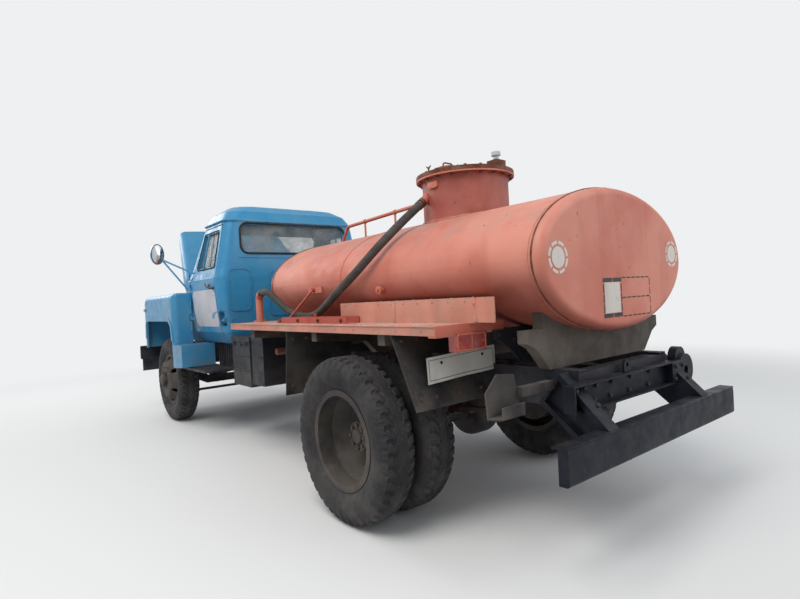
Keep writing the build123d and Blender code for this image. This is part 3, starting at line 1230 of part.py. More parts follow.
def bent_bracket():
    """Crumpled carrier plate on an arm from the left rail."""
    x = RAIL_REAR_X + 108
    arm = slab(x - 28, x + 12, RAIL_OUTER_Y + 80, 740, 760, 800)
    plate = cross_plate([(725, 700), (760, 860), (870, 872), (945, 800), (935, 690), (860, 668)], x, x + 8)
    fold = plan_plate([(x, 735), (x - 48, 760), (x - 43, 900), (x, 930)], 690, 698)
    skirt = cross_plate([(735, 690), (935, 690), (900, 740), (760, 745)], x - 52, x - 45)
    skirt &= slab(x - 52, x - 38, 758, 902, 690, 760)
    return arm + plate + fold + skirt


guards = both(mudguards())
parts["mudguards"] = Compound(children=[*guards.solids(), *bent_bracket().solids()])
parts["tail_lamps"] = both(tail_lamp())
parts["guard_bar"] = guard_bar()

for name, shape in parts.items():
    export_step(shape, f"parts/{name}.step")
print(len(parts), "pieces written")
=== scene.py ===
import functools
import json
import math
import random

import bmesh
import bpy
from mathutils import Matrix, Vector
from mathutils.bvhtree import BVHTree


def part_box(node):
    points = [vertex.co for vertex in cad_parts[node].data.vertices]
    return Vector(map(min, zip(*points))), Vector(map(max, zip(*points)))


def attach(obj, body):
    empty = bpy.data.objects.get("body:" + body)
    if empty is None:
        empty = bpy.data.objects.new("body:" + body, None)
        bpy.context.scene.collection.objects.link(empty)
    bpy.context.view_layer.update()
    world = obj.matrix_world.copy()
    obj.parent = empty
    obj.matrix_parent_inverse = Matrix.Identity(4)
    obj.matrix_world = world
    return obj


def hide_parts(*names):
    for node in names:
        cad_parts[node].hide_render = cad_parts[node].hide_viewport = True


# Dressing of the tank truck, in metres, in the frame's own axes: +X forward, +Y left, +Z up.
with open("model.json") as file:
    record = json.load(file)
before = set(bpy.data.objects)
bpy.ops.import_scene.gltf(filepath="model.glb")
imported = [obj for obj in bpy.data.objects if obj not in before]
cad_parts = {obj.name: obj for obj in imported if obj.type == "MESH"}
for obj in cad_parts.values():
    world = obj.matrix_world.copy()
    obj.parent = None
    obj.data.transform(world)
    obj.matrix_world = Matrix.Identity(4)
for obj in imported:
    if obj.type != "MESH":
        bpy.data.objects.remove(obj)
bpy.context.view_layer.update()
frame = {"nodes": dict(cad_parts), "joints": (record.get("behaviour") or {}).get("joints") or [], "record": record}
NODES = frame["nodes"]
DICE = random.Random(11)

# Camera: its place, its three directions and its lens
EYE = Vector((-4.0926, 2.5644, 1.2174))
EYE_RIGHT = Vector((-0.6262, -0.7779, -0.0530))
EYE_DOWN = Vector((0.0309, 0.0431, -0.9986))
EYE_AHEAD = Vector((0.7790, -0.6270, -0.0029))
LENS = 23.6
SENSOR = 36

# The hose's route, from the standpipe down over the tray and up to the neck
HOSE_ROUTE = [
    (0.000, 0.737, 1.314), (-0.070, 0.749, 1.328), (-0.180, 0.752, 1.318), (-0.310, 0.744, 1.245),
    (-0.460, 0.722, 1.155), (-0.620, 0.690, 1.115), (-0.780, 0.680, 1.124), (-0.960, 0.700, 1.190),
    (-1.160, 0.738, 1.270), (-1.377, 0.737, 1.375), (-1.540, 0.712, 1.488), (-1.598, 0.610, 1.605),
    (-1.586, 0.430, 1.740), (-1.577, 0.310, 1.825),
]
HOSE_RADIUS = 0.027
RIB_PITCH = 0.017

# Sizes shared with the frame
TANK_A = 0.679
TANK_B = 0.362
TANK_Z = 1.360
TANK_LOW, TANK_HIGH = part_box("tank")
NECK_X = -1.660
NECK_RADIUS = 0.283
COVER_RADIUS = 0.322
COVER_TOP = 2.007
DECK_TOP = 1.080
TYRE_RADIUS = 0.455
TYRE_WIDTH = 0.210
RIM_RADIUS = 0.254
TWIN_SPACING = 0.280
BONNET_HINGE = Vector((1.728, 0.0, 1.462))
BONNET_OPEN = math.radians(52)
PLACES = {joint["name"]: Vector(joint["pos_m"]) for joint in frame["joints"]}
FORWARD = Vector((1, 0, 0))
LEFT = Vector((0, 1, 0))
UP = Vector((0, 0, 1))
SIDES = (("left", 1), ("right", -1))


def rgb(red, green, blue):
    """A colour of 0 to 255 as linear light."""
    shares = (c / 255 for c in (red, green, blue))
    return tuple(c / 12.92 if c <= 0.04045 else ((c + 0.055) / 1.055) ** 2.4 for c in shares)


def scaled(colour, share, lift=0.0):
    return tuple(c * share + lift for c in colour)


DUST = rgb(142, 134, 124)
MUD = rgb(104, 92, 80)
RUST = rgb(122, 70, 46)
DARK_RUST = rgb(70, 44, 34)
BARE_METAL = rgb(150, 140, 132)


class Shader:
    """Adds and joins the nodes of one material."""

    def __init__(self, name, roughness=0.6, metallic=0.0):
        self.material = bpy.data.materials.new(name)
        self.material.use_nodes = True
        self.tree = self.material.node_tree
        self.bsdf = self.tree.nodes["Principled BSDF"]
        self.bsdf.inputs["Roughness"].default_value = roughness
        self.bsdf.inputs["Metallic"].default_value = metallic
        coordinates = self.node("ShaderNodeTexCoord")
        self.place = coordinates.outputs["Object"]
        self.normal = coordinates.outputs["Normal"]

    def put(self, value, socket):
        """Joins an output to the socket, or writes a constant into it."""
        if isinstance(value, bpy.types.NodeSocket):
            self.tree.links.new(value, socket)
        elif isinstance(value, (tuple, list)) and socket.type == "RGBA":
            socket.default_value = (*value, 1.0)
        else:
            socket.default_value = value

    def node(self, kind, sockets=None, **settings):
        """Adds a node with its settings and with a value or an output in its sockets."""
        node = self.tree.nodes.new(kind)
        for key, value in settings.items():
            setattr(node, key, value)
        for key, value in (sockets or {}).items():
            self.put(value, node.inputs[key])
        return node

    def stretched(self, stretch=(1, 1, 1), shift=0.0):
        sockets = {"Vector": self.place, "Scale": stretch, "Location": (shift, shift, shift)}
        return self.node("ShaderNodeMapping", sockets).outputs["Vector"]

    def noise(self, scale, detail=4, stretch=(1, 1, 1), shift=0.0, twist=0.0):
        place = self.stretched(stretch, shift)
        sockets = {"Vector": place, "Scale": scale, "Detail": detail, "Distortion": twist}
        return self.node("ShaderNodeTexNoise", sockets).outputs["Fac"]

    def cells(self, scale, feature="F1"):
        sockets = {"Vector": self.stretched(), "Scale": scale}
        return self.node("ShaderNodeTexVoronoi", sockets, feature=feature).outputs["Distance"]

    def step(self, value, low, high, to_low=0.0, to_high=1.0):
        """Smooth change from to_low to to_high as value goes from low to high."""
        sockets = {"Value": value, "From Min": low, "From Max": high, "To Min": to_low,
                   "To Max": to_high}
        return self.node("ShaderNodeMapRange", sockets,
                         interpolation_type="SMOOTHSTEP").outputs["Result"]

    def patches(self, scale, detail, low, high, shift=0.0, to_low=0.0, to_high=1.0):
        """Noise cut into patches with soft edges."""
        return self.step(self.noise(scale, detail, shift=shift), low, high, to_low, to_high)

    def sum(self, operation, a, b=0.0):
        return self.node("ShaderNodeMath", {0: a, 1: b}, operation=operation).outputs[0]

    def plus(self, a, b):
        return self.sum("ADD", a, b)

    def minus(self, a, b):
        return self.sum("SUBTRACT", a, b)

    def times(self, *values):
        return functools.reduce(lambda a, b: self.sum("MULTIPLY", a, b), values)

    def most(self, *values):
        return functools.reduce(lambda a, b: self.sum("MAXIMUM", a, b), values)

    def mix(self, factor, a, b):
        return self.node("ShaderNodeMix", {"Factor": factor, 6: a, 7: b},
                         data_type="RGBA").outputs[2]

    def part(self, vector, axis):
        return self.node("ShaderNodeSeparateXYZ", {0: vector}).outputs[axis]

    def height(self):
        return self.part(self.place, "Z")

    def upward(self):
        return self.part(self.normal, "Z")

    def edges(self, radius, low=0.03, high=0.18):
        """1 along sharp edges and 0 on flat ground."""
        bevel = self.node("ShaderNodeBevel", {"Radius": radius}, samples=4)
        geometry = self.node("ShaderNodeNewGeometry")
        normals = {0: bevel.outputs["Normal"], 1: geometry.outputs["Normal"]}
        dot = self.node("ShaderNodeVectorMath", normals, operation="DOT_PRODUCT")
        return self.step(self.minus(1.0, dot.outputs["Value"]), low, high)

    def bump(self, height, strength, distance=0.01):
        node = self.node("ShaderNodeBump",
                         {"Strength": strength, "Distance": distance, "Height": height})
        self.put(node.outputs["Normal"], self.bsdf.inputs["Normal"])

    def finish(self, colour, roughness=None):
        self.put(colour, self.bsdf.inputs["Base Color"])
        if roughness is not None:
            self.put(roughness, self.bsdf.inputs["Roughness"])
        return self.material


def weathered(name, base, faded, rough, fade, streak, wear, rust, dust, low, high, dents, peel,
              shine):
    """Old paint: faded patches, run-down streaks, chipped edges, rust spots and settled dust."""
    s = Shader(name)
    s.bsdf.inputs["Specular IOR Level"].default_value = shine
    colour = s.mix(s.times(s.patches(1.9, 6, 0.38, 0.66), fade), base, faded)
    streaks = s.times(s.step(s.noise(7.0, 5, (1, 1, 0.10), 3.1), 0.46, 0.74), streak)
    colour = s.mix(streaks, colour, scaled(base, 0.62))
    blotch = s.times(s.patches(24, 4, 0.52, 0.75, 5.0), streak * 0.8)
    colour = s.mix(blotch, colour, scaled(faded, 0.78, 0.02))
    chipping = s.times(s.edges(0.007), s.patches(38, 5, 0.45, 0.62, 1.3), wear)
    spots = s.times(s.patches(44, 4, 0.665, 0.72, 2.2), s.patches(2.6, 3, 0.48, 0.64, 8.0), rust)
    worn = s.most(chipping, spots)
    if peel:
        flakes = s.step(s.noise(11, 8, shift=4.4, twist=0.6), 0.60 - 0.08 * peel,
                        0.615 - 0.08 * peel)
        colour = s.mix(s.times(flakes, s.step(s.upward(), 0.3, 0.8), peel), colour,
                       rgb(176, 168, 160))
        colour = s.mix(s.times(s.edges(0.016), s.patches(16, 6, 0.5, 0.56), peel), colour,
                       BARE_METAL)
    colour = s.mix(worn, colour, s.mix(s.noise(60, 3), RUST, DARK_RUST))
    settled = s.times(s.step(s.height(), low, high, 1.0, 0.12), s.patches(5.5, 6, 0.25, 0.7, 6.0))
    lying = s.times(s.step(s.upward(), 0.5, 1.0), s.patches(9, 5, 0.3, 0.7, 7.0), 0.55)
    dusty = s.times(s.most(settled, lying), dust)
    colour = s.mix(dusty, colour, s.mix(s.noise(90, 3), DUST, MUD))
    ripples = s.plus(s.times(s.noise(3.0, 2, shift=9.0), dents * 3), s.times(s.noise(130, 3), 0.12))
    s.bump(s.minus(ripples, s.times(worn, 0.25)), 0.35, 0.006)
    even = s.patches(12, 4, 0.3, 0.7, 0.0, rough - 0.08, rough + 0.10)
    return s.finish(colour, s.plus(even, s.times(s.most(dusty, worn), 0.3)))


def tank_paint(name, base, faded, neck=None):
    """Chalky paint of the tank: darker red-brown on faces that look down (painted shade with some dirt), vertical
    runs, small chips and rust near the seams.
    """
    s = Shader(name)
    colour = s.mix(s.times(s.patches(1.6, 6, 0.38, 0.64), 0.6), base, faded)
    if neck:
        side = s.sum("POWER", s.sum("ABSOLUTE", s.minus(s.part(s.place, "X"), NECK_X)), 2.0)
        reach = s.plus(side, s.sum("POWER", s.sum("ABSOLUTE", s.part(s.place, "Y")), 2.0))
        on_neck = s.times(s.step(reach, NECK_RADIUS ** 2 + 0.002, NECK_RADIUS ** 2 + 0.008, 1.0,
                                 0.0),
                          s.step(s.height(), 1.690, 1.715))
        colour = s.mix(s.times(on_neck, s.patches(6, 4, 0.2, 0.7, 9.0, 0.95, 0.55)), colour, neck)
    runs = s.times(s.step(s.noise(8.0, 5, (1.2, 1, 0.09), 2.0), 0.48, 0.72), 0.30)
    colour = s.mix(runs, colour, rgb(166, 88, 70))
    # Faces that look down turn darker red-brown: painted shade, with some dirt.
    under = s.times(s.step(s.upward(), -0.75, 0.05, 1.0, 0.0),
                    s.patches(4.0, 5, 0.2, 0.6, 1.0, 0.45, 1.0))
    colour = s.mix(s.times(under, 0.75), colour, rgb(136, 62, 48))
    chips = s.times(s.patches(27, 7, 0.665, 0.70, 3.0), s.patches(3.1, 3, 0.44, 0.62, 5.0))
    specks = s.times(s.step(s.cells(70), 0.13, 0.07), s.patches(2.2, 4, 0.5, 0.66, 7.5))
    worn = s.most(chips, specks, s.times(s.edges(0.006), s.patches(30, 4, 0.5, 0.6), 0.7))
    colour = s.mix(s.times(worn, 0.8), colour, s.mix(s.noise(50, 2), RUST, DARK_RUST))
    colour = s.mix(s.times(s.step(s.upward(), 0.50, 1.0), s.patches(7, 6, 0.35, 0.7), 0.50), colour,
                   DUST)
    ripples = s.plus(s.times(s.noise(2.4, 2), 0.9), s.times(s.noise(150, 2), 0.10))
    s.bump(s.minus(ripples, s.times(worn, 0.2)), 0.30, 0.006)
    return s.finish(colour, s.patches(10, 4, 0.3, 0.7, 0.0, 0.48, 0.66))


def metal(name, base, rusty, rough=0.5, oil=0.0, dust=0.3):
    """Bare or oily metal with rust bloom and dust in the hollows."""
    s = Shader(name, metallic=0.45)
    colour = s.mix(s.patches(9, 6, 0.35, 0.65), base, rusty)
    colour = s.mix(s.times(s.patches(55, 4, 0.55, 0.7, 2.0), 0.6), colour, DARK_RUST)
    colour = s.mix(s.times(s.patches(6, 5, 0.5, 0.7, 4.0), oil), colour, rgb(26, 22, 20))
    colour = s.mix(s.times(s.step(s.upward(), 0.0, 1.0), s.patches(14, 5, 0.3, 0.7), dust), colour,
                   DUST)
    s.bump(s.plus(s.noise(70, 5), s.times(s.noise(14, 3), 0.8)), 0.35, 0.003)
    return s.finish(colour, s.patches(11, 4, 0.3, 0.7, 0.0, rough, rough + 0.3))


def rubber(name, base, dusty, dust):
    """Aged rubber: dry film of dust, fine cracks and mud that thickens downwards."""
    s = Shader(name)
    s.bsdf.inputs["Specular IOR Level"].default_value = 0.28
    colour = s.mix(s.times(s.patches(4.5, 7, 0.25, 0.80), dust), base, dusty)
    colour = s.mix(s.times(s.patches(95, 6, 0.55, 0.72, 2.0), 0.35), colour, MUD)
    low = s.times(s.step(s.height(), 0.02, 0.45, 1.0, 0.15), s.patches(9, 7, 0.42, 0.66, 4.0))
    colour = s.mix(s.times(low, dust), colour, dusty)
    cracks = s.step(s.cells(55, "DISTANCE_TO_EDGE"), 0.0, 0.035, 1.0, 0.0)
    cracks = s.times(cracks, s.patches(7, 4, 0.45, 0.6, 6.0))
    colour = s.mix(s.times(cracks, 0.5), colour, scaled(base, 0.4))
    s.bump(s.minus(s.times(s.noise(160, 4), 0.5), s.times(cracks, 0.6)), 0.35, 0.0016)
    return s.finish(colour, s.patches(20, 3, 0.3, 0.7, 0.0, 0.65, 0.90))


def glass(name, tint, clear, dust, rough=0.08):
    """Dusty pane: see-through with a film of dirt that thickens in patches."""
    s = Shader(name, roughness=rough)
    film = s.times(s.patches(6, 6, 0.30, 0.75), dust)
    s.bsdf.inputs["IOR"].default_value = 1.25
    s.put(s.step(film, 0.0, 0.4, 1.0 - clear, 0.75), s.bsdf.inputs["Alpha"])
    s.bump(s.noise(30, 3), 0.05, 0.002)
    return s.finish(s.mix(film, tint, DUST), s.step(film, 0.0, 0.4, rough, 0.5))


def lens(name, tint, rough=0.25):
    """Faded moulded lens with fine ribs."""
    s = Shader(name, roughness=rough)
    colour = s.mix(s.patches(18, 5, 0.4, 0.7), tint, scaled(tint, 0.7, 0.05))
    colour = s.mix(s.times(s.patches(8, 5, 0.45, 0.7, 3.0), 0.4), colour, DUST)
    ribs = s.node("ShaderNodeTexWave", {"Vector": s.place, "Scale": 40}, bands_direction="Y")
    s.bump(ribs.outputs["Fac"], 0.3, 0.003)
    s.bsdf.inputs["Coat Weight"].default_value = 0.5
    return s.finish(colour)


def leather(name, base):
    s = Shader(name, roughness=0.5)
    cracks = s.step(s.cells(90, "DISTANCE_TO_EDGE"), 0.0, 0.08)
    colour = s.mix(s.patches(7, 5, 0.35, 0.7), base, scaled(base, 1.9, 0.01))
    colour = s.mix(s.times(s.patches(5, 5, 0.5, 0.7, 4.0), 0.22), colour, DUST)
    s.bump(s.plus(s.times(cracks, 0.4), s.times(s.noise(12, 4), 0.8)), 0.45, 0.004)
    return s.finish(colour, s.patches(16, 4, 0.3, 0.7, 0.0, 0.38, 0.62))


def chrome(name, rough=0.12):
    s = Shader(name, roughness=rough, metallic=1.0)
    haze = s.patches(14, 6, 0.4, 0.7)
    s.bump(s.noise(60, 3), 0.08, 0.002)
    colour = s.mix(s.times(haze, 0.5), rgb(200, 206, 210), rgb(120, 124, 128))
    return s.finish(colour, s.step(haze, 0.0, 1.0, rough, rough + 0.22))


def plastic(name, base, rough=0.5):
    s = Shader(name)
    colour = s.mix(s.patches(12, 5, 0.4, 0.7), base, scaled(base, 1.5, 0.012))
    colour = s.mix(s.times(s.step(s.upward(), 0.3, 1.0), s.patches(9, 4, 0.4, 0.7), 0.4), colour,
                   DUST)
    s.bump(s.noise(220, 2), 0.2, 0.001)
    return s.finish(colour, s.patches(18, 3, 0.3, 0.7, 0.0, rough, rough + 0.2))


PAINTS = {
    # name: base, faded, then rough, fade, streak, wear, rust, dust, low, high, dents, peel, shine
    "cab blue": ((34, 128, 174), (98, 154, 178),
                 0.34, 0.34, 0.20, 0.45, 0.7, 0.35, 0.75, 1.45, 0.5, 0, 0.5),
    "chassis blue black": ((24, 28, 38), (42, 46, 54),
                           0.5, 0.5, 0.4, 0.3, 0.5, 0.42, 0.2, 1.0, 0.4, 0, 0.22),
    "deck salmon": ((200, 124, 102), (214, 154, 134),
                    0.6, 0.7, 0.35, 0.7, 0.6, 0.35, 1.0, 1.4, 0.5, 0.9, 0.5),
    "tray red": ((176, 66, 48), (196, 98, 74),
                 0.5, 0.5, 0.4, 0.8, 0.6, 0.35, 0.9, 1.3, 0.4, 0, 0.5),
    "wheel dark": ((36, 36, 40), (62, 58, 56),
                   0.6, 0.8, 0.3, 0.7, 1.0, 0.40, 0.3, 1.2, 0.3, 0, 0.25),
    "pale grey patch": ((194, 194, 200), (210, 208, 210),
                        0.5, 0.6, 0.3, 0.4, 0.3, 0.4, 0.9, 1.4, 0.25, 0, 0.5),
    "plate white": ((204, 202, 194), (218, 216, 210),
                    0.45, 0.6, 0.3, 0.9, 0.4, 0.5, 0.7, 1.1, 0.25, 0, 0.5),
    "trim orange red": ((190, 92, 70), (204, 124, 100),
                        0.55, 0.6, 0.3, 0.8, 0.5, 0.3, 0.9, 1.2, 0.25, 0, 0.5),
    # Bearers: the dark base is painted shade, so they sink into the shadow under the tank; the beige fade is dust.
    "support dark": ((40, 35, 33), (70, 60, 50),
                     0.7, 0.6, 0.3, 0.8, 0.9, 0.6, 0.8, 1.3, 0.25, 0, 0.5),
    # Guard bar: a darker, less dusty copy of the chassis paint; the darkness is painted shade.
    "guard blue black": ((16, 21, 32), (30, 35, 46),
                         0.45, 0.5, 0.4, 0.3, 0.3, 0.22, 0.3, 0.55, 0.4, 0, 0.15),
    # Mudguards: a lighter, dustier copy of the chassis paint; partly real dust, partly painted light.
    "mudguard dusty": ((30, 32, 38), (58, 58, 60),
                       0.6, 0.7, 0.5, 0.5, 0.6, 0.62, 0.4, 1.1, 0.8, 0, 0.2),
}
PAINT = {}
for name, (base, faded, *rest) in PAINTS.items():
    PAINT[name] = weathered(name, rgb(*base), rgb(*faded), *rest)
MATERIALS = {
    "cab_paint": PAINT["cab blue"],
    "tank_paint": tank_paint("tank salmon", rgb(188, 106, 88), rgb(212, 142, 122),
                             rgb(134, 60, 50)),
    "chassis_paint": PAINT["chassis blue black"],
    "deck_paint": PAINT["deck salmon"],
    "red_paint": PAINT["tray red"],
    "wheel_paint": PAINT["wheel dark"],
    "bare_steel": metal("oily steel", rgb(74, 70, 68), rgb(92, 64, 50), oil=0.6),
    "rusty_steel": metal("rusty steel", rgb(122, 84, 64), rgb(96, 56, 40), rough=0.6, dust=0.4),
    "tyre": rubber("tyre rubber", rgb(34, 34, 38), rgb(96, 92, 88), dust=0.38),
    "hose_rubber": rubber("hose rubber", rgb(52, 50, 48), rgb(118, 112, 104), dust=0.45),
    "clear_glass": glass("window glass", rgb(150, 160, 162), 0.80, 0.24),
    "lamp_red": lens("tail red", rgb(168, 40, 28)),
    "lamp_glass": lens("headlamp glass", rgb(206, 210, 208), 0.12),
    "seat_cover": leather("seat leather", rgb(46, 40, 36)),
    "black_plastic": plastic("black plastic", rgb(30, 30, 31)),
}
SEAL = rubber("window rubber", rgb(24, 24, 25), rgb(92, 88, 84), dust=0.35)
CHROME = chrome("worn chrome")
MIRROR = chrome("mirror glass", 0.04)
AMBER = lens("amber lens", rgb(214, 120, 30))
SIGN_PALE = tank_paint("sign pale", rgb(204, 196, 188), rgb(214, 204, 194))
SIGN_DARK = plastic("sign dark", rgb(44, 42, 42), 0.6)
PALE_PATCH = PAINT["pale grey patch"]
PLATE_WHITE = PAINT["plate white"]
TRIM_RED = PAINT["trim orange red"]
# Paint of the guard bar and its seam, darkened as painted shade.
GUARD_SHADED_PAINT = PAINT["guard blue black"]
OWN_MATERIALS = {
    # The bearers get the dark paint that stands in for shade: painted shade.
    "bearers": PAINT["support dark"],
    "guard_bar": GUARD_SHADED_PAINT,
    # The mudguards get the lighter paint: dust with painted light.
    "mudguards": PAINT["mudguard dusty"],
}


# Shapes
def vec(x, y, z):
    return Vector((x, y, z))


def across(direction):
    """Two unit vectors square to a direction."""
    direction = Vector(direction).normalized()
    other = UP if abs(direction.z) < 0.9 else FORWARD
    first = direction.cross(other).normalized()
    return first, direction.cross(first).normalized()


def turns(count):
    """Angles of equal steps round a circle."""
    return [2 * math.pi * k / count for k in range(count)]


def circle(centre, radius, axis, count=40):
    first, second = across(axis)
    return [Vector(centre) + radius * (first * math.cos(t) + second * math.sin(t))
            for t in turns(count)]


class Shape:
    """Vertices and faces of one piece, gathered from simple solids."""

    def __init__(self):
        self.verts = []
        self.faces = []

    def add(self, verts, faces):
        base = len(self.verts)
        self.verts.extend(Vector(v) for v in verts)
        self.faces.extend(tuple(base + i for i in face) for face in faces)
        return self

    def skin(self, rings, ends=True, loop=False):
        """Skin through rings of equal length."""
        count = len(rings[0])
        verts = [v for ring in rings for v in ring]
        faces = []
        last = len(rings) if loop else len(rings) - 1
        for i in range(last):
            a = i * count
            b = (i + 1) % len(rings) * count
            for j in range(count):
                k = (j + 1) % count
                faces.append((a + j, a + k, b + k, b + j))
        if ends and not loop:
            faces.append(tuple(range(count))[::-1])
            faces.append(tuple((len(rings) - 1) * count + j for j in range(count)))
        return self.add(verts, faces)

    def tube(self, points, radius, sides=10, closed=False):
        """Round bar along points; radius may be one value or one for each point."""
        points = [Vector(p) for p in points]
        radii = radius if isinstance(radius, (list, tuple)) else [radius] * len(points)
        rings = []
        count = len(points)
        side = None
        for i, point in enumerate(points):
            before = points[i - 1] if i or closed else point
            after = points[(i + 1) % count] if i < count - 1 or closed else point
            along = (after - before).normalized()
            if side is None:
                side = across(along)[0]
            side = (side - along * side.dot(along)).normalized()
            up = along.cross(side)
            rings.append([point + radii[i] * (side * math.cos(t) + up * math.sin(t))
                          for t in turns(sides)])
        return self.skin(rings, loop=closed)

    def lathe(self, profile, centre, axis, sides=32, ends=True):
        """Turns a profile of (distance along the axis, radius) about it."""
        axis = Vector(axis).normalized()
        rings = [circle(Vector(centre) + axis * along, radius, axis, sides)
                 for along, radius in profile]
        return self.skin(rings, ends=ends)

    def band(self, inner, outer, low, high, centre, axis, sides=24):
        """Ring of square section, from low to high along its axis."""
        profile = [(low, inner), (low, outer), (high, outer), (high, inner)]
        return self.lathe(profile, centre, axis, sides, ends=False)

    def block(self, low, high, bevel=0.003, turn=None, segments=2):
        """Box between two corners with rounded edges, turned about its own middle."""
        low = Vector(low)
        high = Vector(high)
        box = bmesh.new()
        bmesh.ops.create_cube(box, size=1.0)
        for vert in box.verts:
            vert.co = Vector(c * size for c, size in zip(vert.co, high - low))
        bmesh.ops.bevel(box, geom=box.edges[:], offset=bevel, segments=segments, affect="EDGES",
                        profile=0.5)
        middle = (low + high) / 2
        verts = [middle + (turn @ vert.co if turn else vert.co) for vert in box.verts]
        faces = [tuple(vert.index for vert in face.verts) for face in box.faces]
        box.free()
        return self.add(verts, faces)

    def bolt(self, place, direction, across_flats=0.016, height=0.009):
        """Hexagon head on a washer."""
        washer = across_flats * 0.72
        self.lathe([(0, washer), (0.002, washer)], place, direction, 12)
        head = across_flats * 0.577
        return self.lathe([(0.002, head), (height * 0.85, head), (height, head * 0.84)], place,
                          direction, 6)

    def dome(self, place, direction, radius=0.006, height=0.004):
        """Round rivet head."""
        steps = [(height * math.sin(t), radius * math.cos(t)) for t in (0.0, 0.5, 1.0, 1.4)]
        return self.lathe(steps, place, direction, 10)

    def mirrored(self):
        """The same piece on both sides of the truck."""
        verts = [Vector((v.x, -v.y, v.z)) for v in self.verts]
        faces = [face[::-1] for face in self.faces]
        return self.add(verts, faces)

    def turned(self, matrix):
        self.verts = [matrix @ v for v in self.verts]
        return self


def linked(name, data):
    obj = bpy.data.objects.new(name, data)
    bpy.context.scene.collection.objects.link(obj)
    return obj


def put(name, shape, slot, body="chassis", material=None, stands_for=(), crease=32):
    """Makes the piece in its slot's usual material or its own, and lets it ride on its body."""
    mesh = bpy.data.meshes.new(name)
    mesh.from_pydata(shape.verts, [], shape.faces)
    mesh.update()
    tidy = bmesh.new()
    tidy.from_mesh(mesh)
    bmesh.ops.remove_doubles(tidy, verts=tidy.verts, dist=1e-6)
    bmesh.ops.recalc_face_normals(tidy, faces=tidy.faces)
    tidy.to_mesh(mesh)
    tidy.free()
    mesh.polygons.foreach_set("use_smooth", [True] * len(mesh.polygons))
    mesh.set_sharp_from_angle(angle=math.radians(crease))
    obj = linked(name, mesh)
    mesh.materials.append(material or MATERIALS[slot])
    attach(obj, body)
    if stands_for:
        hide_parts(*stands_for)
    return obj


def tree_of(*nodes):
    """Search tree over the faces of some CAD nodes."""
    verts = []
    faces = []
    for node in nodes:
        mesh = NODES[node].data
        base = len(verts)
        verts.extend(v.co.copy() for v in mesh.vertices)
        faces.extend(tuple(base + i for i in p.vertices) for p in mesh.polygons)
    return BVHTree.FromPolygons(verts, faces)


def landed(tree, start, direction, lift=0.0):
    """Where a ray meets the surface, lifted off it; None where it meets nothing."""
    direction = Vector(direction).normalized()
    place = tree.ray_cast(Vector(start), direction)[0]
    return None if place is None else place - direction * lift


def laid(tree, starts, direction, lift=0.0):
    """The places where rays from the starts meet the surface."""
    places = [landed(tree, start, direction, lift) for start in starts]
    return [place for place in places if place is not None]


def rounded(points, radius, steps=5):
    """Flat outline of (a, b) points with its corners rounded."""
    out = []
    count = len(points)
    for i, (a, b) in enumerate(points):
        here = Vector((a, b))
        to_last = (Vector(points[i - 1]) - here).normalized()
        to_next = (Vector(points[(i + 1) % count]) - here).normalized()
        half = math.acos(max(-1.0, min(1.0, to_last.dot(to_next)))) / 2
        cut = radius / math.tan(half)
        centre = here + (to_last + to_next).normalized() * radius / math.sin(half)
        start = here + to_last * cut - centre
        sweep = math.pi - 2 * half
        end = here + to_next * cut - centre
        sign = 1 if start.x * end.y - start.y * end.x > 0 else -1
        for k in range(steps + 1):
            t = sign * sweep * k / steps
            c, d = math.cos(t), math.sin(t)
            out.append((centre.x + c * start.x - d * start.y, centre.y + d * start.x + c * start.y))
    return out


def divided(points, longest):
    """A closed outline with no run longer than longest."""
    out = []
    for i, point in enumerate(points):
        here = Vector(point)
        ahead = Vector(points[(i + 1) % len(points)])
        pieces = max(1, math.ceil((ahead - here).length / longest))
        out.extend(here.lerp(ahead, k / pieces) for k in range(pieces))
    return out


# Camera, light and floor
def add_camera():
    data = bpy.data.cameras.new("camera")
    data.lens = LENS
    data.sensor_width = SENSOR
    obj = linked("camera", data)
    turn = Matrix((EYE_RIGHT, -EYE_DOWN, -EYE_AHEAD)).transposed()
    obj.matrix_world = Matrix.Translation(EYE) @ turn.to_4x4()
    bpy.context.scene.camera = obj


def add_area(name, place, target, size, power, colour):
    data = bpy.data.lights.new(name, "AREA")
    data.shape = "DISK"
    data.size = size
    data.energy = power
    data.color = colour
    aim = Vector(target) - Vector(place)
    turn = aim.to_track_quat("-Z", "Y").to_matrix().to_4x4()
    linked(name, data).matrix_world = Matrix.Translation(place) @ turn


def seen_by_camera(tree):
    """1 where a ray comes from the camera, a mirror or a pane."""
    path = tree.nodes.new("ShaderNodeLightPath")
    out = path.outputs["Is Camera Ray"]
    for name in ("Is Glossy Ray", "Is Transmission Ray"):
        node = tree.nodes.new("ShaderNodeMath")
        node.operation = "MAXIMUM"
        tree.links.new(out, node.inputs[0])
        tree.links.new(path.outputs[name], node.inputs[1])
        out = node.outputs[0]
    return out


BACKDROP = (0.86, 0.87, 0.88)
WORLD_LIGHT = 0.54
FLOOR_HALF = 40.0
FLOOR_GREY = (0.72, 0.72, 0.715)
FLOOR_FADE = (4.2, 9.0)


def add_world():
    world = bpy.data.worlds.new("world")
    bpy.context.scene.world = world
    world.use_nodes = True
    tree = world.node_tree
    tree.nodes.clear()
    lit = tree.nodes.new("ShaderNodeBackground")
    lit.inputs["Color"].default_value = (0.90, 0.95, 1.0, 1.0)
    lit.inputs["Strength"].default_value = WORLD_LIGHT
    seen = tree.nodes.new("ShaderNodeBackground")
    seen.inputs["Color"].default_value = (*BACKDROP, 1.0)
    blend = tree.nodes.new("ShaderNodeMixShader")
    tree.links.new(seen_by_camera(tree), blend.inputs[0])
    tree.links.new(lit.outputs[0], blend.inputs[1])
    tree.links.new(seen.outputs[0], blend.inputs[2])
    out = tree.nodes.new("ShaderNodeOutputWorld")
    tree.links.new(blend.outputs[0], out.inputs[0])


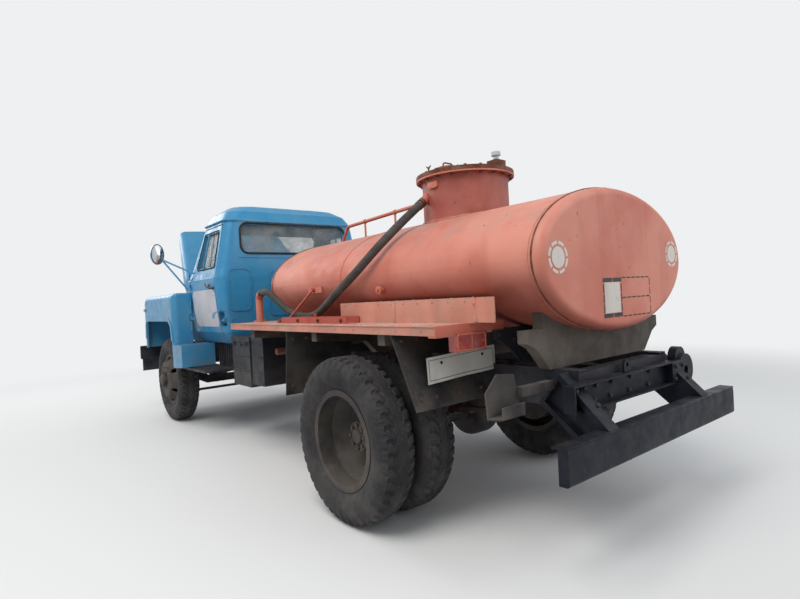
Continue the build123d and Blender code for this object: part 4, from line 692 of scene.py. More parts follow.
def add_floor():
    """Pale floor that turns into the backdrop away from the truck."""
    mesh = bpy.data.meshes.new("floor")
    corners = [(a * FLOOR_HALF, b * FLOOR_HALF, 0) for a, b in ((-1, -1), (1, -1), (1, 1), (-1, 1))]
    mesh.from_pydata(corners, [], [(0, 1, 2, 3)])
    obj = linked("floor", mesh)
    s = Shader("floor", roughness=0.9)
    s.finish(FLOOR_GREY)
    glow = s.node("ShaderNodeEmission", {"Color": BACKDROP})
    length = s.node("ShaderNodeVectorMath", {0: s.place}, operation="LENGTH")
    far = s.times(s.step(length.outputs["Value"], *FLOOR_FADE), seen_by_camera(s.tree))
    blend = s.node("ShaderNodeMixShader", {0: far, 1: s.bsdf.outputs[0], 2: glow.outputs[0]})
    s.put(blend.outputs[0], s.tree.nodes["Material Output"].inputs["Surface"])
    mesh.materials.append(s.material)


# Hose
def spline_points():
    """The hose's middle line, read from a smooth spline through its route."""
    data = bpy.data.curves.new("hose line", "CURVE")
    data.dimensions = "3D"
    data.resolution_u = 24
    spline = data.splines.new("NURBS")
    spline.points.add(len(HOSE_ROUTE) - 1)
    for point, place in zip(spline.points, HOSE_ROUTE):
        point.co = (*place, 1.0)
    spline.order_u = 3
    spline.use_endpoint_u = True
    obj = bpy.data.objects.new("hose line", data)
    mesh = bpy.data.meshes.new_from_object(obj)
    points = [v.co.copy() for v in mesh.vertices]
    bpy.data.objects.remove(obj)
    bpy.data.meshes.remove(mesh)
    return points


def respaced(points, gap):
    """The same line with points an equal gap apart."""
    out = [points[0]]
    left = gap
    for a, b in zip(points, points[1:]):
        run = (b - a).length
        done = 0.0
        while run - done >= left:
            done += left
            out.append(a.lerp(b, done / run))
            left = gap
        left -= run - done
    out.append(points[-1])
    return out


def add_hose():
    line = respaced(spline_points(), RIB_PITCH / 4)
    swell = (0.0, -0.0012, -0.0030, -0.0012)
    radii = [HOSE_RADIUS + swell[i % 4] for i in range(len(line))]
    shape = Shape().tube(line, radii, 22)
    hose = put("suction_hose", shape, "hose_rubber", stands_for=("hose",), crease=75)
    clamps = Shape()
    for first, next_one in ((3, 8), (9, 14), (-4, -9), (-10, -15)):
        start = line[first]
        axis = (line[next_one] - start).normalized()
        clamps.band(HOSE_RADIUS, HOSE_RADIUS + 0.003, 0, 0.014, start, axis, 28)
        side, along_screw = across(axis)
        clamps.bolt(start + axis * 0.007 + side * (HOSE_RADIUS + 0.002), along_screw, 0.012, 0.02)
    put("hose_clamps", clamps, "rusty_steel")


# Tyres
LUGS = 44
TREAD_HALF = 0.084
CROWN_RADIUS = 0.441
LIP_RADIUS = 0.2785
LIP_Y = 0.0687
GROOVE = 0.0115
STEPS_PER_LUG = 8
SIDE_STEPS = 12
TREAD_STEPS = 20


def groove_depth(y, lug, worn):
    """How deep the tread is cut at y, in a step of one lug's pitch."""
    reach = abs(y) / TREAD_HALF
    shift = 2 if y > 0 else 0
    slant = int(reach * 3)
    in_slot = (lug + shift + slant) % STEPS_PER_LUG in (0, 1, 2)
    if reach > 0.42 and in_slot:
        return GROOVE * min(1.0, (reach - 0.42) / 0.15 + 0.35)
    zigzag = 0.06 if lug < STEPS_PER_LUG / 2 else -0.06
    if abs(reach - 0.36 - zigzag) < 0.075:
        return GROOVE * (0.35 if worn else 0.8)
    return 0.0


def tyre_section(lug, worn):
    """Radius and width of one cross section, from the inner lip over the tread to the outer lip."""
    side = []
    for k in range(SIDE_STEPS + 1):
        t = k / SIDE_STEPS
        radius = LIP_RADIUS + (CROWN_RADIUS - LIP_RADIUS) * t
        y = LIP_Y + (TREAD_HALF - LIP_Y) * t + 0.0292 * math.sin(math.pi * t) ** 0.8
        if k in (3, 9):
            y += 0.0014
        if k in (1, 4, 10):
            y -= 0.0008
        if k >= 9:
            cut = groove_depth(TREAD_HALF, lug, worn)
            y -= cut * 0.45 * (k - 8) / 4
            radius -= cut * 0.3 * (k - 8) / 4
        side.append((radius, min(y, TYRE_WIDTH / 2)))
    tread = []
    for k in range(1, TREAD_STEPS):
        y = TREAD_HALF * (1 - 2 * k / TREAD_STEPS)
        crown = TYRE_RADIUS - 0.014 * max(0.0, (abs(y) - 0.052) / (TREAD_HALF - 0.052)) ** 1.6
        tread.append((crown - groove_depth(y, lug, worn), y))
    inner = [(radius, -y) for radius, y in side]
    return inner + [(radius, -y) for radius, y in tread] + side[::-1]


def add_tyre(shape, centre, worn):
    """One tyre with sidewall rings and tread blocks, about a wheel's middle."""
    sections = [tyre_section(lug, worn) for lug in range(STEPS_PER_LUG)]
    bead = [(RIM_RADIUS + 0.0005, 0.060), (RIM_RADIUS + 0.0005, -0.060)]
    total = LUGS * STEPS_PER_LUG
    rings = []
    for i in range(total):
        turn = 2 * math.pi * i / total
        ring = sections[i % STEPS_PER_LUG] + bead
        rings.append([Vector((centre[0] + r * math.cos(turn), centre[1] + y,
                              centre[2] + r * math.sin(turn)))
                      for r, y in ring])
    shape.skin(rings, loop=True)
    return shape


def add_tyres():
    for side, sign in SIDES:
        tyre = add_tyre(Shape(), PLACES[f"front_{side}_roll"], False)
        put(f"front_{side}_tread", tyre, "tyre", f"front_{side}_wheel",
            stands_for=(f"front_{side}_tyre",),
            crease=24)
        centre = PLACES[f"rear_{side}_roll"]
        pair = Shape()
        for offset, worn in ((TWIN_SPACING / 2, True), (-TWIN_SPACING / 2, False)):
            add_tyre(pair, centre + sign * offset * LEFT, worn)
        put(f"rear_{side}_tread", pair, "tyre", f"rear_{side}_wheels",
            stands_for=(f"rear_{side}_tyres",),
            crease=24)


# Small parts laid on the frame's surfaces
def studs(shape, tree, starts, direction, size=0.016, height=0.009, rivet=False):
    """Bolt heads or rivets where rays from the starts meet the surface."""
    back = -Vector(direction)
    for place in laid(tree, starts, direction, 0.0005):
        if rivet:
            shape.dome(place, back, size / 2, height)
        else:
            shape.bolt(place, back, size, height)
    return shape


def row(start, end, count):
    """Points an equal gap apart from start to end."""
    start = Vector(start)
    return [start.lerp(Vector(end), k / (count - 1)) for k in range(count)]


def weld(shape, points, radius, closed=False, sides=8):
    """Hand-laid bead: a bar whose thickness wavers."""
    radii = [radius * DICE.uniform(0.75, 1.2) for _ in points]
    return shape.tube(points, radii, sides, closed)


# Tank, neck and cover
def tank_top(y):
    """Height of the tank's shell at y."""
    return TANK_Z + TANK_B * math.sqrt(1 - (y / TANK_A) ** 2)


def tank_ring(x, lift=0.0, count=150):
    """Points round the tank's shell at x."""
    points = []
    for t in turns(count):
        outward = vec(0, math.cos(t) / TANK_A, math.sin(t) / TANK_B).normalized()
        points.append(vec(x, TANK_A * math.cos(t), TANK_Z + TANK_B * math.sin(t)) + outward * lift)
    return points


def neck_ring(radius, lift=0.0, count=90):
    """Points where the neck meets the tank's top."""
    return [vec(NECK_X + radius * math.cos(t), radius * math.sin(t),
                tank_top(radius * math.sin(t)) + lift)
            for t in turns(count)]


SEAM_INSET = 0.052
HEAD_SEAM_X = TANK_LOW.x + SEAM_INSET
MID_SEAM_X = -1.130
COVER_BOLTS = 20
BOLT_CIRCLE = 0.302
FLANGE_LOW = 1.9715
HATCH = Vector((-1.570, 0.060, 2.077))
BREATHER = Vector((NECK_X - 0.215, -0.075, 2.066))
VENT_Y = 0.040
DISC_RADIUS = 0.074
DISC_PLACES = ((0.553, 1.361), (-0.553, 1.388))
PANEL_Y = (0.197, 0.020, -0.275)
PANEL_Z = (1.066, 1.160, 1.262)
HEAD_FACE = TANK_LOW.x - 0.0008


def add_tank_welds():
    seam = Shape()
    for x in (HEAD_SEAM_X, TANK_HIGH.x - SEAM_INSET):
        weld(seam, tank_ring(x, 0.0005), 0.0045, closed=True)
    put("tank_head_seams", seam, "rusty_steel")
    bead = Shape()
    for x, radius in ((HEAD_SEAM_X + 0.019, 0.0030), (MID_SEAM_X, 0.0040)):
        weld(bead, tank_ring(x), radius, closed=True)
    weld(bead, neck_ring(NECK_RADIUS + 0.003, 0.002), 0.0065, closed=True)
    keel_xs = (TANK_LOW.x + 0.06, -2.0, MID_SEAM_X, -0.6, TANK_HIGH.x - 0.06)
    weld(bead, [(x, 0.0, TANK_Z - TANK_B) for x in keel_xs], 0.004)
    put("tank_welds", bead, "tank_paint")


def add_cover_fittings():
    """Cover bolts, the hatch's grip and swing bolts, the breather and the tab on the neck."""
    bolts = Shape()
    for k in range(COVER_BOLTS):
        turn = 2 * math.pi * (k + 0.5) / COVER_BOLTS
        x, y = NECK_X + BOLT_CIRCLE * math.cos(turn), BOLT_CIRCLE * math.sin(turn)
        bolts.bolt((x, y, COVER_TOP - 0.0005), UP, 0.017, 0.010)
        bolts.bolt((x, y, FLANGE_LOW), -UP, 0.017, 0.012)
    gasket = [(0.0, COVER_RADIUS + 0.0015), (0.003, COVER_RADIUS + 0.0025),
              (0.006, COVER_RADIUS + 0.0015)]
    bolts.lathe(gasket, (NECK_X, 0, 1.982), UP, 64, ends=False)
    put("cover_bolts", bolts, "rusty_steel")
    lid = Shape()
    grip = ((-0.045, 0), (-0.042, 0.022), (-0.030, 0.030), (0.030, 0.030), (0.042, 0.022),
            (0.045, 0))
    lid.tube([HATCH + vec(0, y, z - 0.001) for y, z in grip], 0.0055, 10)
    lid.lathe([(0, 0.030), (0.004, 0.029), (0.006, 0.024)], HATCH - 0.001 * UP, UP, 24)
    put("hatch_grip", lid, "rusty_steel", "hatch_lid")
    swing = Shape()
    for side in (-1, 1):
        foot = vec(HATCH.x + 0.086, HATCH.y + side * 0.098, 2.020)
        swing.tube([foot, foot + 0.068 * UP], 0.0055, 10)
        swing.block(foot - vec(0.016, 0.012, 0.003), foot + vec(0.016, 0.012, 0.010), 0.002)
        nut = foot + 0.058 * UP
        swing.lathe([(0, 0.009), (0.012, 0.007)], nut, UP, 12)
        for way in (-1, 1):
            wing = [nut + vec(way * 0.006, 0, 0.004), nut + vec(way * 0.022, 0, 0.018)]
            swing.tube(wing, [0.005, 0.0035], 8)
    put("hatch_swing_bolts", swing, "rusty_steel")
    profile = [(0, 0.026), (0.010, 0.026), (0.012, 0.018), (0.030, 0.018), (0.034, 0.030),
               (0.056, 0.030),
               (0.062, 0.022)]
    cap = Shape().lathe(profile, BREATHER, UP, 24)
    put("breather_cap", cap, "cab_paint", material=PALE_PATCH)
    tab = Shape()
    root = vec(NECK_X, NECK_RADIUS, 1.900)
    tab.block(root + vec(-0.038, -0.006, 0.006), root + vec(0.052, 0.010, 0.044), 0.003)
    tab.block(root + vec(-0.030, 0.008, 0), root + vec(0.044, 0.014, 0.008), 0.002)
    put("neck_tab", tab, "red_paint", material=TRIM_RED)


def add_vent_fittings():
    """Nuts at the vent pipe's ends and the two stays that hold it."""
    parts = Shape()
    for x, z, axis in ((-0.170, 1.700, (-0.12, 0, 0.166)), (-1.330, 1.8915, (-1, 0, 0.034))):
        parts.lathe([(0, 0.021), (0.022, 0.021)], (x, VENT_Y, z), axis, 6)
    for x in (-0.55, -0.95):
        z = 1.856 + (x + 0.29) / (-1.05) * 0.036
        foot = tank_top(VENT_Y) - 0.001
        parts.block((x - 0.010, VENT_Y - 0.004, foot), (x + 0.010, VENT_Y + 0.004, z - 0.008),
                    0.002)
        parts.lathe([(-0.010, 0.0175), (0.010, 0.0175)], (x, VENT_Y, z), (1, 0, -0.034), 20,
                    ends=False)
    put("vent_pipe_clips", parts, "red_paint", material=TRIM_RED)


def arc_plate(shape, y, z, inner, outer, start, end, steps=8):
    """Thin curved patch on the rear head."""
    verts = []
    for radius in (inner, outer):
        for t in spaced(start, end, steps + 1):
            verts.append((HEAD_FACE, y + radius * math.cos(t), z + radius * math.sin(t)))
    count = steps + 1
    return shape.add(verts, [(k, k + 1, count + k + 1, count + k) for k in range(steps)])


def head_patch(shape, y0, y1, z0, z1):
    """Thin flat patch on the rear head."""
    corners = [(HEAD_FACE, y0, z0), (HEAD_FACE, y1, z0), (HEAD_FACE, y1, z1), (HEAD_FACE, y0, z1)]
    return shape.add(corners, [(0, 1, 2, 3)])


def add_signs():
    """Two blank discs in dashed rings, and a blank panel with a dashed frame."""
    pale = Shape()
    for y, z in DISC_PLACES:
        arc_plate(pale, y, z, 0.002, DISC_RADIUS * 0.66, 0, 2 * math.pi, 32)
        for k in range(8):
            start = math.pi / 4 * k + 0.08
            arc_plate(pale, y, z, DISC_RADIUS * 0.80, DISC_RADIUS, start,
                      start + math.pi / 4 - 0.16)
    head_patch(pale, PANEL_Y[1] + 0.016, PANEL_Y[0] - 0.014, PANEL_Z[0] + 0.022, PANEL_Z[2] - 0.022)
    put("head_signs", pale, "tank_paint", material=SIGN_PALE)
    dark = Shape()
    for z0, z1 in ((PANEL_Z[0], PANEL_Z[0] + 0.020), (PANEL_Z[2] - 0.020, PANEL_Z[2])):
        head_patch(dark, PANEL_Y[0] - 0.088, PANEL_Y[0], z0, z1)
        head_patch(dark, PANEL_Y[1], PANEL_Y[1] + 0.082, z0, z1)
    for y in (PANEL_Y[0] - 0.006, PANEL_Y[1] + 0.004):
        for k in range(3):
            z = PANEL_Z[0] + 0.026 + 0.049 * k
            head_patch(dark, y - 0.004, y + 0.004, z, z + 0.041)
    dashes = 6
    pitch = (PANEL_Y[1] - PANEL_Y[2]) / dashes
    for z in PANEL_Z:
        for k in range(dashes):
            y = PANEL_Y[1] - pitch * k - 0.004
            head_patch(dark, y - pitch * 0.78, y, z - 0.003, z + 0.003)
    for k in range(4):
        z = PANEL_Z[0] + 0.004 + 0.049 * k
        head_patch(dark, PANEL_Y[2] - 0.003, PANEL_Y[2] + 0.003, z, z + 0.038)
    put("head_panel_frame", dark, "black_plastic", material=SIGN_DARK)


# Decks, hose case and tray
def add_deck_trim():
    tree = tree_of("decks")
    rivets = Shape()
    for y in (0.545, 0.93):
        studs(rivets, tree, row((-2.28, y, 1.3), (0.03, y, 1.3), 17), -UP, 0.013, 0.003, rivet=True)
    studs(rivets, tree, row((-2.25, 1.3, 1.058), (0.0, 1.3, 1.058), 13), -LEFT, 0.012, 0.003,
          rivet=True)
    put("deck_rivets", rivets.mirrored(), "deck_paint")
    seams = Shape()
    for x in (-1.56, -0.78):
        for y0, y1 in ((0.507, 0.632), (0.858, 0.966)):
            seams.block((x - 0.011, y0, DECK_TOP - 0.001), (x + 0.011, y1, DECK_TOP + 0.0025),
                        0.001)
    weld(seams, row((-2.343, 0.9715, 1.078), (0.098, 0.9715, 1.078), 40), 0.0035)
    put("deck_seams", seams.mirrored(), "deck_paint")
    face = Shape()
    face.block((-2.352, 0.500, 1.030), (-2.3445, 0.9705, 1.0815), 0.002)
    face.block((-2.352, 0.500, 1.026), (-2.300, 0.9705, 1.0345), 0.002)
    put("deck_rear_strip", face, "red_paint", material=TRIM_RED)
    case = Shape()
    wall = tree_of("hose_cases")
    studs(case, wall, row((-2.33, 1.0, 1.185), (-1.28, 1.0, 1.185), 10), -LEFT, 0.011, 0.003,
          rivet=True)
    studs(case, wall, row((-2.33, 0.69, 1.4), (-1.28, 0.69, 1.4), 8), -UP, 0.011, 0.003, rivet=True)
    case.block((-1.79, 0.748, 1.082), (-1.765, 0.7525, 1.200), 0.001)
    put("hose_case_rivets", case.mirrored(), "deck_paint")


def add_tray_fittings():
    """Bolts of the hose tray, the plug in the tank's boss and the flange under the standpipe."""
    tree = tree_of("hose_tray")
    bolts = Shape()
    studs(bolts, tree, row((-1.38, 1.0, 1.10), (-0.56, 1.0, 1.10), 4), -LEFT, 0.018, 0.011)
    studs(bolts, tree, ((-1.30, 0.80, 1.3), (-0.70, 0.80, 1.3)), -UP, 0.018, 0.011)
    put("tray_bolts", bolts, "rusty_steel")
    plug = Shape()
    plug.lathe([(0, 0.022), (0.004, 0.026), (0.016, 0.026), (0.018, 0.022)], (-1.560, 0.675, 1.270),
               LEFT, 20)
    plug.block((-1.569, 0.692, 1.261), (-1.551, 0.706, 1.279), 0.002)
    put("tank_boss_plug", plug, "red_paint", material=TRIM_RED)
    pipe = Shape()
    foot = vec(0.070, 0.725, 1.080)
    pipe.lathe([(0, 0.055), (0.008, 0.055), (0.009, 0.044)], foot, UP, 28)
    for k in range(4):
        turn = math.pi / 4 + math.pi / 2 * k
        pipe.bolt(foot + vec(0.044 * math.cos(turn), 0.044 * math.sin(turn), 0.0075), UP, 0.013,
                  0.008)
    put("standpipe_flange", pipe, "red_paint", material=TRIM_RED)


# Rear end
PLATE_X = -2.205
GUSSET_X = -2.364
GUSSET_OUTLINE = ((0.592, 1.034), (0.592, 0.996), (0.511, 0.956), (0.450, 0.914), (0.400, 0.860),
                  (0.296, 0.842), (0.280, 0.930), (0.276, 1.034))
PLATE_Y = (0.905, 0.415)
PLATE_Z = (0.802, 0.930)


def plate_point(u, v, lift=0.0):
    """A point of the warped plate: u runs from its left end to its right end, v upwards."""
    curl = 0.006 * max(0.0, 0.12 - u) / 0.12 * (1 - v)
    wave = 0.004 * math.sin(9 * u) * (1 - v)
    y = PLATE_Y[0] + (PLATE_Y[1] - PLATE_Y[0]) * u
    z = PLATE_Z[0] + (PLATE_Z[1] - PLATE_Z[0]) * v - 0.008 + 0.020 * u
    return Vector((PLATE_X - wave - curl - lift, y, z))


def add_plate():
    """Blank white registration plate, bent, with a dark border line and its straps."""
    plate = Shape()
    across_steps, up_steps = 28, 8
    count = up_steps + 1
    for layer in (0.0, -0.0014):
        verts = []
        for i in range(across_steps + 1):
            for j in range(count):
                on_rim = i in (0, across_steps) or j in (0, up_steps)
                verts.append(plate_point(i / across_steps, j / up_steps,
                                         layer + (0.0016 if on_rim else 0.0)))
        starts = [i * count + j for i in range(across_steps) for j in range(up_steps)]
        plate.add(verts, [(a, a + 1, a + count + 1, a + count) for a in starts])
    put("rear_plate", plate, "cab_paint", material=PLATE_WHITE)
    border = []
    corners = ((0.03, 0.12), (0.97, 0.12), (0.97, 0.88), (0.03, 0.88))
    for (u0, v0), (u1, v1) in zip(corners, corners[1:] + corners[:1]):
        steps = 20 if v0 == v1 else 5
        for k in range(steps):
            share = k / steps
            border.append(plate_point(u0 + (u1 - u0) * share, v0 + (v1 - v0) * share, 0.0006))
    line = Shape().tube(border, 0.0013, 6, closed=True)
    put("rear_plate_border", line, "black_plastic", material=SIGN_DARK)
    holder = Shape()
    for u in (0.20, 0.80):
        place = plate_point(u, 0.72)
        holder.block((-2.199, place.y - 0.014, 0.80), (-2.150, place.y + 0.014, 0.935), 0.002)
        holder.bolt(place, -FORWARD, 0.011, 0.005)
    put("rear_plate_straps", holder, "chassis_paint")


def add_tail_lamp_trim():
    rims = Shape()
    outline = rounded([(0.648, 0.955), (0.838, 0.955), (0.838, 1.031), (0.648, 1.031)], 0.010)
    rims.tube([(-2.3575, a, b) for a, b in outline], 0.0045, 8, closed=True)
    rims.block((-2.360, 0.737, 0.957), (-2.352, 0.745, 1.030), 0.001)
    for y in (0.665, 0.822):
        rims.dome((-2.3575, y, 0.993), -FORWARD, 0.005, 0.003)
    put("tail_lamp_rims", rims.mirrored(), "red_paint", material=TRIM_RED)


def add_rear_frame_details():
    """Frame bolts and rivets, the guard bar's seam, a gusset under the deck and two loose lines."""
    steel = tree_of("crossmembers", "rails", "guard_bar")
    bolts = Shape()
    for y in (-0.50, -0.42, -0.20, 0.0, 0.18, 0.32, 0.42, 0.50):
        studs(bolts, steel, ((-3.2, y, 0.760), (-3.2, y + 0.02, 0.695)), FORWARD, 0.019, 0.011)
    for rear_x, z, count in ((-2.55, 0.79, 12), (-2.50, 0.71, 9)):
        studs(bolts, steel, row((rear_x, 1.0, z), (-0.2, 1.0, z), count), -LEFT, 0.015, 0.006,
              rivet=True)
    put("rear_frame_bolts", bolts, "chassis_paint")
    seam = Shape()
    weld(seam, row((-2.9132, 0.360, 0.455), (-2.9132, 0.360, 0.598), 16), 0.0014)
    seam.block((-2.9145, -0.835, 0.594), (-2.840, 0.835, 0.604), 0.003)
    put("guard_bar_seam", seam, "chassis_paint", material=GUARD_SHADED_PAINT)
    gusset = Shape()
    outline = rounded(GUSSET_OUTLINE, 0.010, 3)
    gusset.skin([[(x, y, z) for y, z in outline] for x in (GUSSET_X, GUSSET_X + 0.010)])
    gusset.block((GUSSET_X + 0.006, 0.276, 1.012), (-2.300, 0.592, 1.034), 0.002)
    gusset.block((GUSSET_X - 0.060, 0.276, 0.846), (GUSSET_X + 0.006, 0.286, 1.030), 0.002)
    for y, z in ((0.555, 1.008), (0.440, 0.975), (0.340, 0.900)):
        gusset.bolt((GUSSET_X + 0.0005, y, z), -FORWARD, 0.018, 0.010)
    put("rear_gusset", gusset, "chassis_paint")
    lines = Shape()
    lines.tube([(-2.72, 0.10, 0.80), (-2.60, 0.13, 0.83), (-2.40, 0.20, 0.845),
                (-2.10, 0.30, 0.845),
                (-1.80, 0.34, 0.845)], 0.008, 8)
    lines.tube([(-2.70, -0.24, 0.69), (-2.55, -0.28, 0.66), (-2.30, -0.33, 0.70),
                (-2.0, -0.34, 0.72)],
               0.007, 8)
    put("rear_wiring", lines, "black_plastic")


def add_mudguard_bolts():
    bolts = Shape()
    for y in (0.50, 0.66, 0.82, 0.92):
        for x, high, low in ((-2.6, 1.00, 0.72), (-1.15, 0.98, 0.66)):
            studs(bolts, tree_of("mudguards"), ((x, y, high), (x, y, low)), FORWARD, 0.015, 0.008)
    put("mudguard_bolts", bolts.mirrored(), "rusty_steel")


def add_side_box_trim():
    """Latches, rivets and stiffening strips of the left side boxes."""
    tree = tree_of("side_boxes")
    trim = Shape()
    for x in (0.33, 0.60):
        trim.block((x - 0.016, 0.748, 0.872), (x + 0.016, 0.756, 0.930), 0.002)
        trim.tube([(x, 0.755, 0.905), (x, 0.766, 0.900), (x, 0.766, 0.872), (x, 0.757, 0.866)],
                  0.004, 8)
    starts = [(x, 1.2, z) for x in (0.05, 0.225, 0.295, 0.635) for z in (0.56, 0.89)]
    studs(trim, tree, starts, -LEFT, 0.013, 0.005, rivet=True)
    for z in (0.65, 0.78):
        for x0, x1 in ((0.04, 0.235), (0.29, 0.64)):
            for place in laid(tree, [((x0 + x1) / 2, 1.2, z)], -LEFT):
                trim.block((x0, place.y - 0.002, z - 0.006), (x1, place.y + 0.004, z + 0.006),
                           0.002)
    put("side_box_trim", trim, "chassis_paint")


# Cab
def seated(tree, starts, direction, lift, slope=0.06):
    """Lands an outline on the surface, without points further in than its slope allows."""
    hits = laid(tree, starts, direction, lift)
    depths = sorted(place.dot(direction) for place in hits)
    middle = depths[len(depths) // 2]
    return [place for place in hits if abs(place.dot(direction) - middle) < slope]


def spaced(low, high, count):
    return [low + (high - low) * k / (count - 1) for k in range(count)]


OUTSIDE_Y = 2.0
INSIDE_Y = 0.30
BACK_WINDOW = ((-0.588, 1.727), (0.588, 1.727), (0.588, 2.018), (-0.588, 2.018))
FRONT_WINDOW = ((-0.613, 1.567), (0.613, 1.567), (0.613, 1.997), (-0.613, 1.997))
DOOR_WINDOW = ((0.880, 1.600), (1.392, 1.600), (1.274, 1.957), (0.880, 1.957))
DIVIDER = ((1.178, 1.604), (1.150, 1.953))
PATCH_X = (0.846, 1.500)
PATCH_Z = (1.035, 1.395)


def add_window_seals():
    seals = Shape()
    for corners, x, direction, nodes, radius, slope in (
            (BACK_WINDOW, -1.0, FORWARD, ("cab_back", "cab_roof"), 0.075, 0.08),
            (FRONT_WINDOW, 3.4, -FORWARD, ("cab_front", "cab_roof"), 0.085, 0.16)):
        starts = [(x, a, b) for a, b in divided(rounded(corners, radius, 6), 0.06)]
        seals.tube(seated(tree_of(*nodes), starts, direction, 0.001, slope), 0.0105, 10,
                   closed=True)
    put("window_seals", seals, "black_plastic", material=SEAL)
    for side, sign in SIDES:
        door = f"door_{side}"
        inward = -sign * LEFT
        starts = [(a, OUTSIDE_Y * sign, b)
                  for a, b in divided(rounded(DOOR_WINDOW, 0.035, 4), 0.06)]
        seal = Shape().tube(seated(tree_of(door), starts, inward, 0.0005), 0.0075, 10, closed=True)
        put(f"{door}_seal", seal, "black_plastic", door, SEAL)
        starts = [(x, OUTSIDE_Y * sign, z) for x, z in DIVIDER]
        ends = laid(tree_of(door, f"door_glass_{side}"), starts, inward, 0.002)
        put(f"{door}_divider", Shape().tube(row(*ends, 6), 0.0085, 8), "cab_paint", door)


def draped(tree, xs, zs, y, way, lift, corner=0.0):
    """Thin sheet laid over a side panel from starts at y, with its corners cut."""
    index = {}
    verts = []
    for i, x in enumerate(xs):
        for j, z in enumerate(zs):
            from_corner = min(x - xs[0], xs[-1] - x) + min(z - zs[0], zs[-1] - z)
            place = None if from_corner < corner else landed(tree, (x, y, z), way * LEFT, lift)
            if place is not None:
                index[i, j] = len(verts)
                verts.append(place)
    faces = []
    for i in range(len(xs) - 1):
        for j in range(len(zs) - 1):
            ring = [index[key] for key in ((i, j), (i + 1, j), (i + 1, j + 1), (i, j + 1))
                    if key in index]
            if len(ring) > 2:
                faces.append(tuple(ring))
    return Shape().add(verts, faces)


def add_door_outside(side, sign):
    """Handle, lock, hinge pins and, on the left door, the repainted patch."""
    body = f"door_{side}"
    tree = tree_of(body)
    out = sign * LEFT

    def on_door(x, z):
        return landed(tree, (x, OUTSIDE_Y * sign, z), -out)
    handle = Shape()
    rear, front = on_door(0.868, 1.405), on_door(0.985, 1.432)
    for root in (rear, front):
        handle.lathe([(-0.002, 0.017), (0.006, 0.016), (0.010, 0.012)], root, out, 16)
    path = [root + sign * y * LEFT + vec(x, 0, z) for root, x, y, z in (
        (rear, 0, 0.004, 0), (rear, 0.004, 0.030, 0), (rear, 0.030, 0.040, 0.006),
        (front, -0.020, 0.040, -0.003), (front, 0.020, 0.033, 0.012), (front, 0.040, 0.022, 0.022))]
    handle.tube(path, [0.0085, 0.0085, 0.008, 0.008, 0.0075, 0.006], 10)
    put(f"{body}_handle", handle, "black_plastic", body)
    lock = Shape().lathe([(-0.002, 0.013), (0.004, 0.013), (0.006, 0.010)], on_door(0.872, 1.345),
                         out, 16)
    put(f"{body}_lock", lock, "bare_steel", body, CHROME)
    if side == "left":
        xs, zs = spaced(*PATCH_X, 16), spaced(*PATCH_Z, 10)
        patch = draped(tree, xs, zs, OUTSIDE_Y * sign, -sign, 0.0009, 0.012)
        put("door_pale_patch", patch, "cab_paint", body, PALE_PATCH, crease=60)
    hinges = Shape()
    pin = [(-0.035, 0.007), (-0.033, 0.009), (0.033, 0.009), (0.035, 0.007)]
    for z in (1.02, 1.285, 1.55):
        hinges.lathe(pin, (1.5345, sign * 0.836, z), UP, 14)
    put(f"{body}_hinge_pins", hinges, "cab_paint", body)


def add_door_inside(side, sign):
    """Door card with its pull, window winder and inner handle."""
    body = f"door_{side}"
    tree = tree_of(body)
    inward = -sign * LEFT

    def on_card(x, z):
        return landed(tree, (x, INSIDE_Y * sign, z), -inward)
    card = draped(tree, spaced(0.885, 1.480, 12), spaced(0.960, 1.540, 10), INSIDE_Y * sign, sign,
                  0.0015)
    put(f"{body}_card", card, "seat_cover", body, crease=60)
    fittings = Shape()
    for x, z, angle, has_knob in ((1.12, 1.30, 0.5, True), (0.96, 1.44, 0.1, False)):
        hub = on_card(x, z)
        fittings.lathe([(-0.002, 0.019), (0.010, 0.017), (0.016, 0.011)], hub, inward, 20)
        arm = vec(math.cos(angle), 0, math.sin(angle)) * 0.095
        crank = [hub + inward * 0.013, hub + inward * 0.026 + arm * 0.5, hub + inward * 0.030 + arm]
        fittings.tube(crank, 0.0055, 8)
        if has_knob:
            knob = [(0.0, 0.008), (0.006, 0.011), (0.030, 0.010), (0.034, 0.006)]
            fittings.lathe(knob, hub + inward * 0.028 + arm, inward, 14)
    low, high = on_card(1.20, 1.385), on_card(1.42, 1.385)
    reach = inward * 0.038
    fittings.tube([low, low + reach + vec(0.02, 0, 0), high + reach - vec(0.02, 0, 0), high], 0.009,
                  10)
    put(f"{body}_fittings", fittings, "black_plastic", body)


def add_wipers():
    pane = tree_of("cab_front", "cab_glass")
    frame_tree = tree_of("cab_front")
    wipers = Shape()
    for y in (0.42, -0.14):
        foot = landed(frame_tree, (3.4, y, 1.545), -FORWARD)
        wipers.lathe([(-0.003, 0.015), (0.012, 0.014), (0.018, 0.009)], foot, FORWARD, 16)
        tip = landed(pane, (3.4, y - 0.24, 1.725), -FORWARD, -0.028)
        low = landed(pane, (3.4, y - 0.06, 1.605), -FORWARD, -0.010)
        high = landed(pane, (3.4, y - 0.36, 1.835), -FORWARD, -0.010)
        wipers.tube([foot + vec(0.013, 0, 0), tip], [0.006, 0.004], 8)
        wipers.tube(row(low, high, 8), 0.0055, 8)
        wipers.tube([tip, (low + high) / 2], 0.004, 8)
    put("wipers", wipers, "black_plastic")


MIRROR_PLACE = Vector((1.80, 1.07, 1.81))


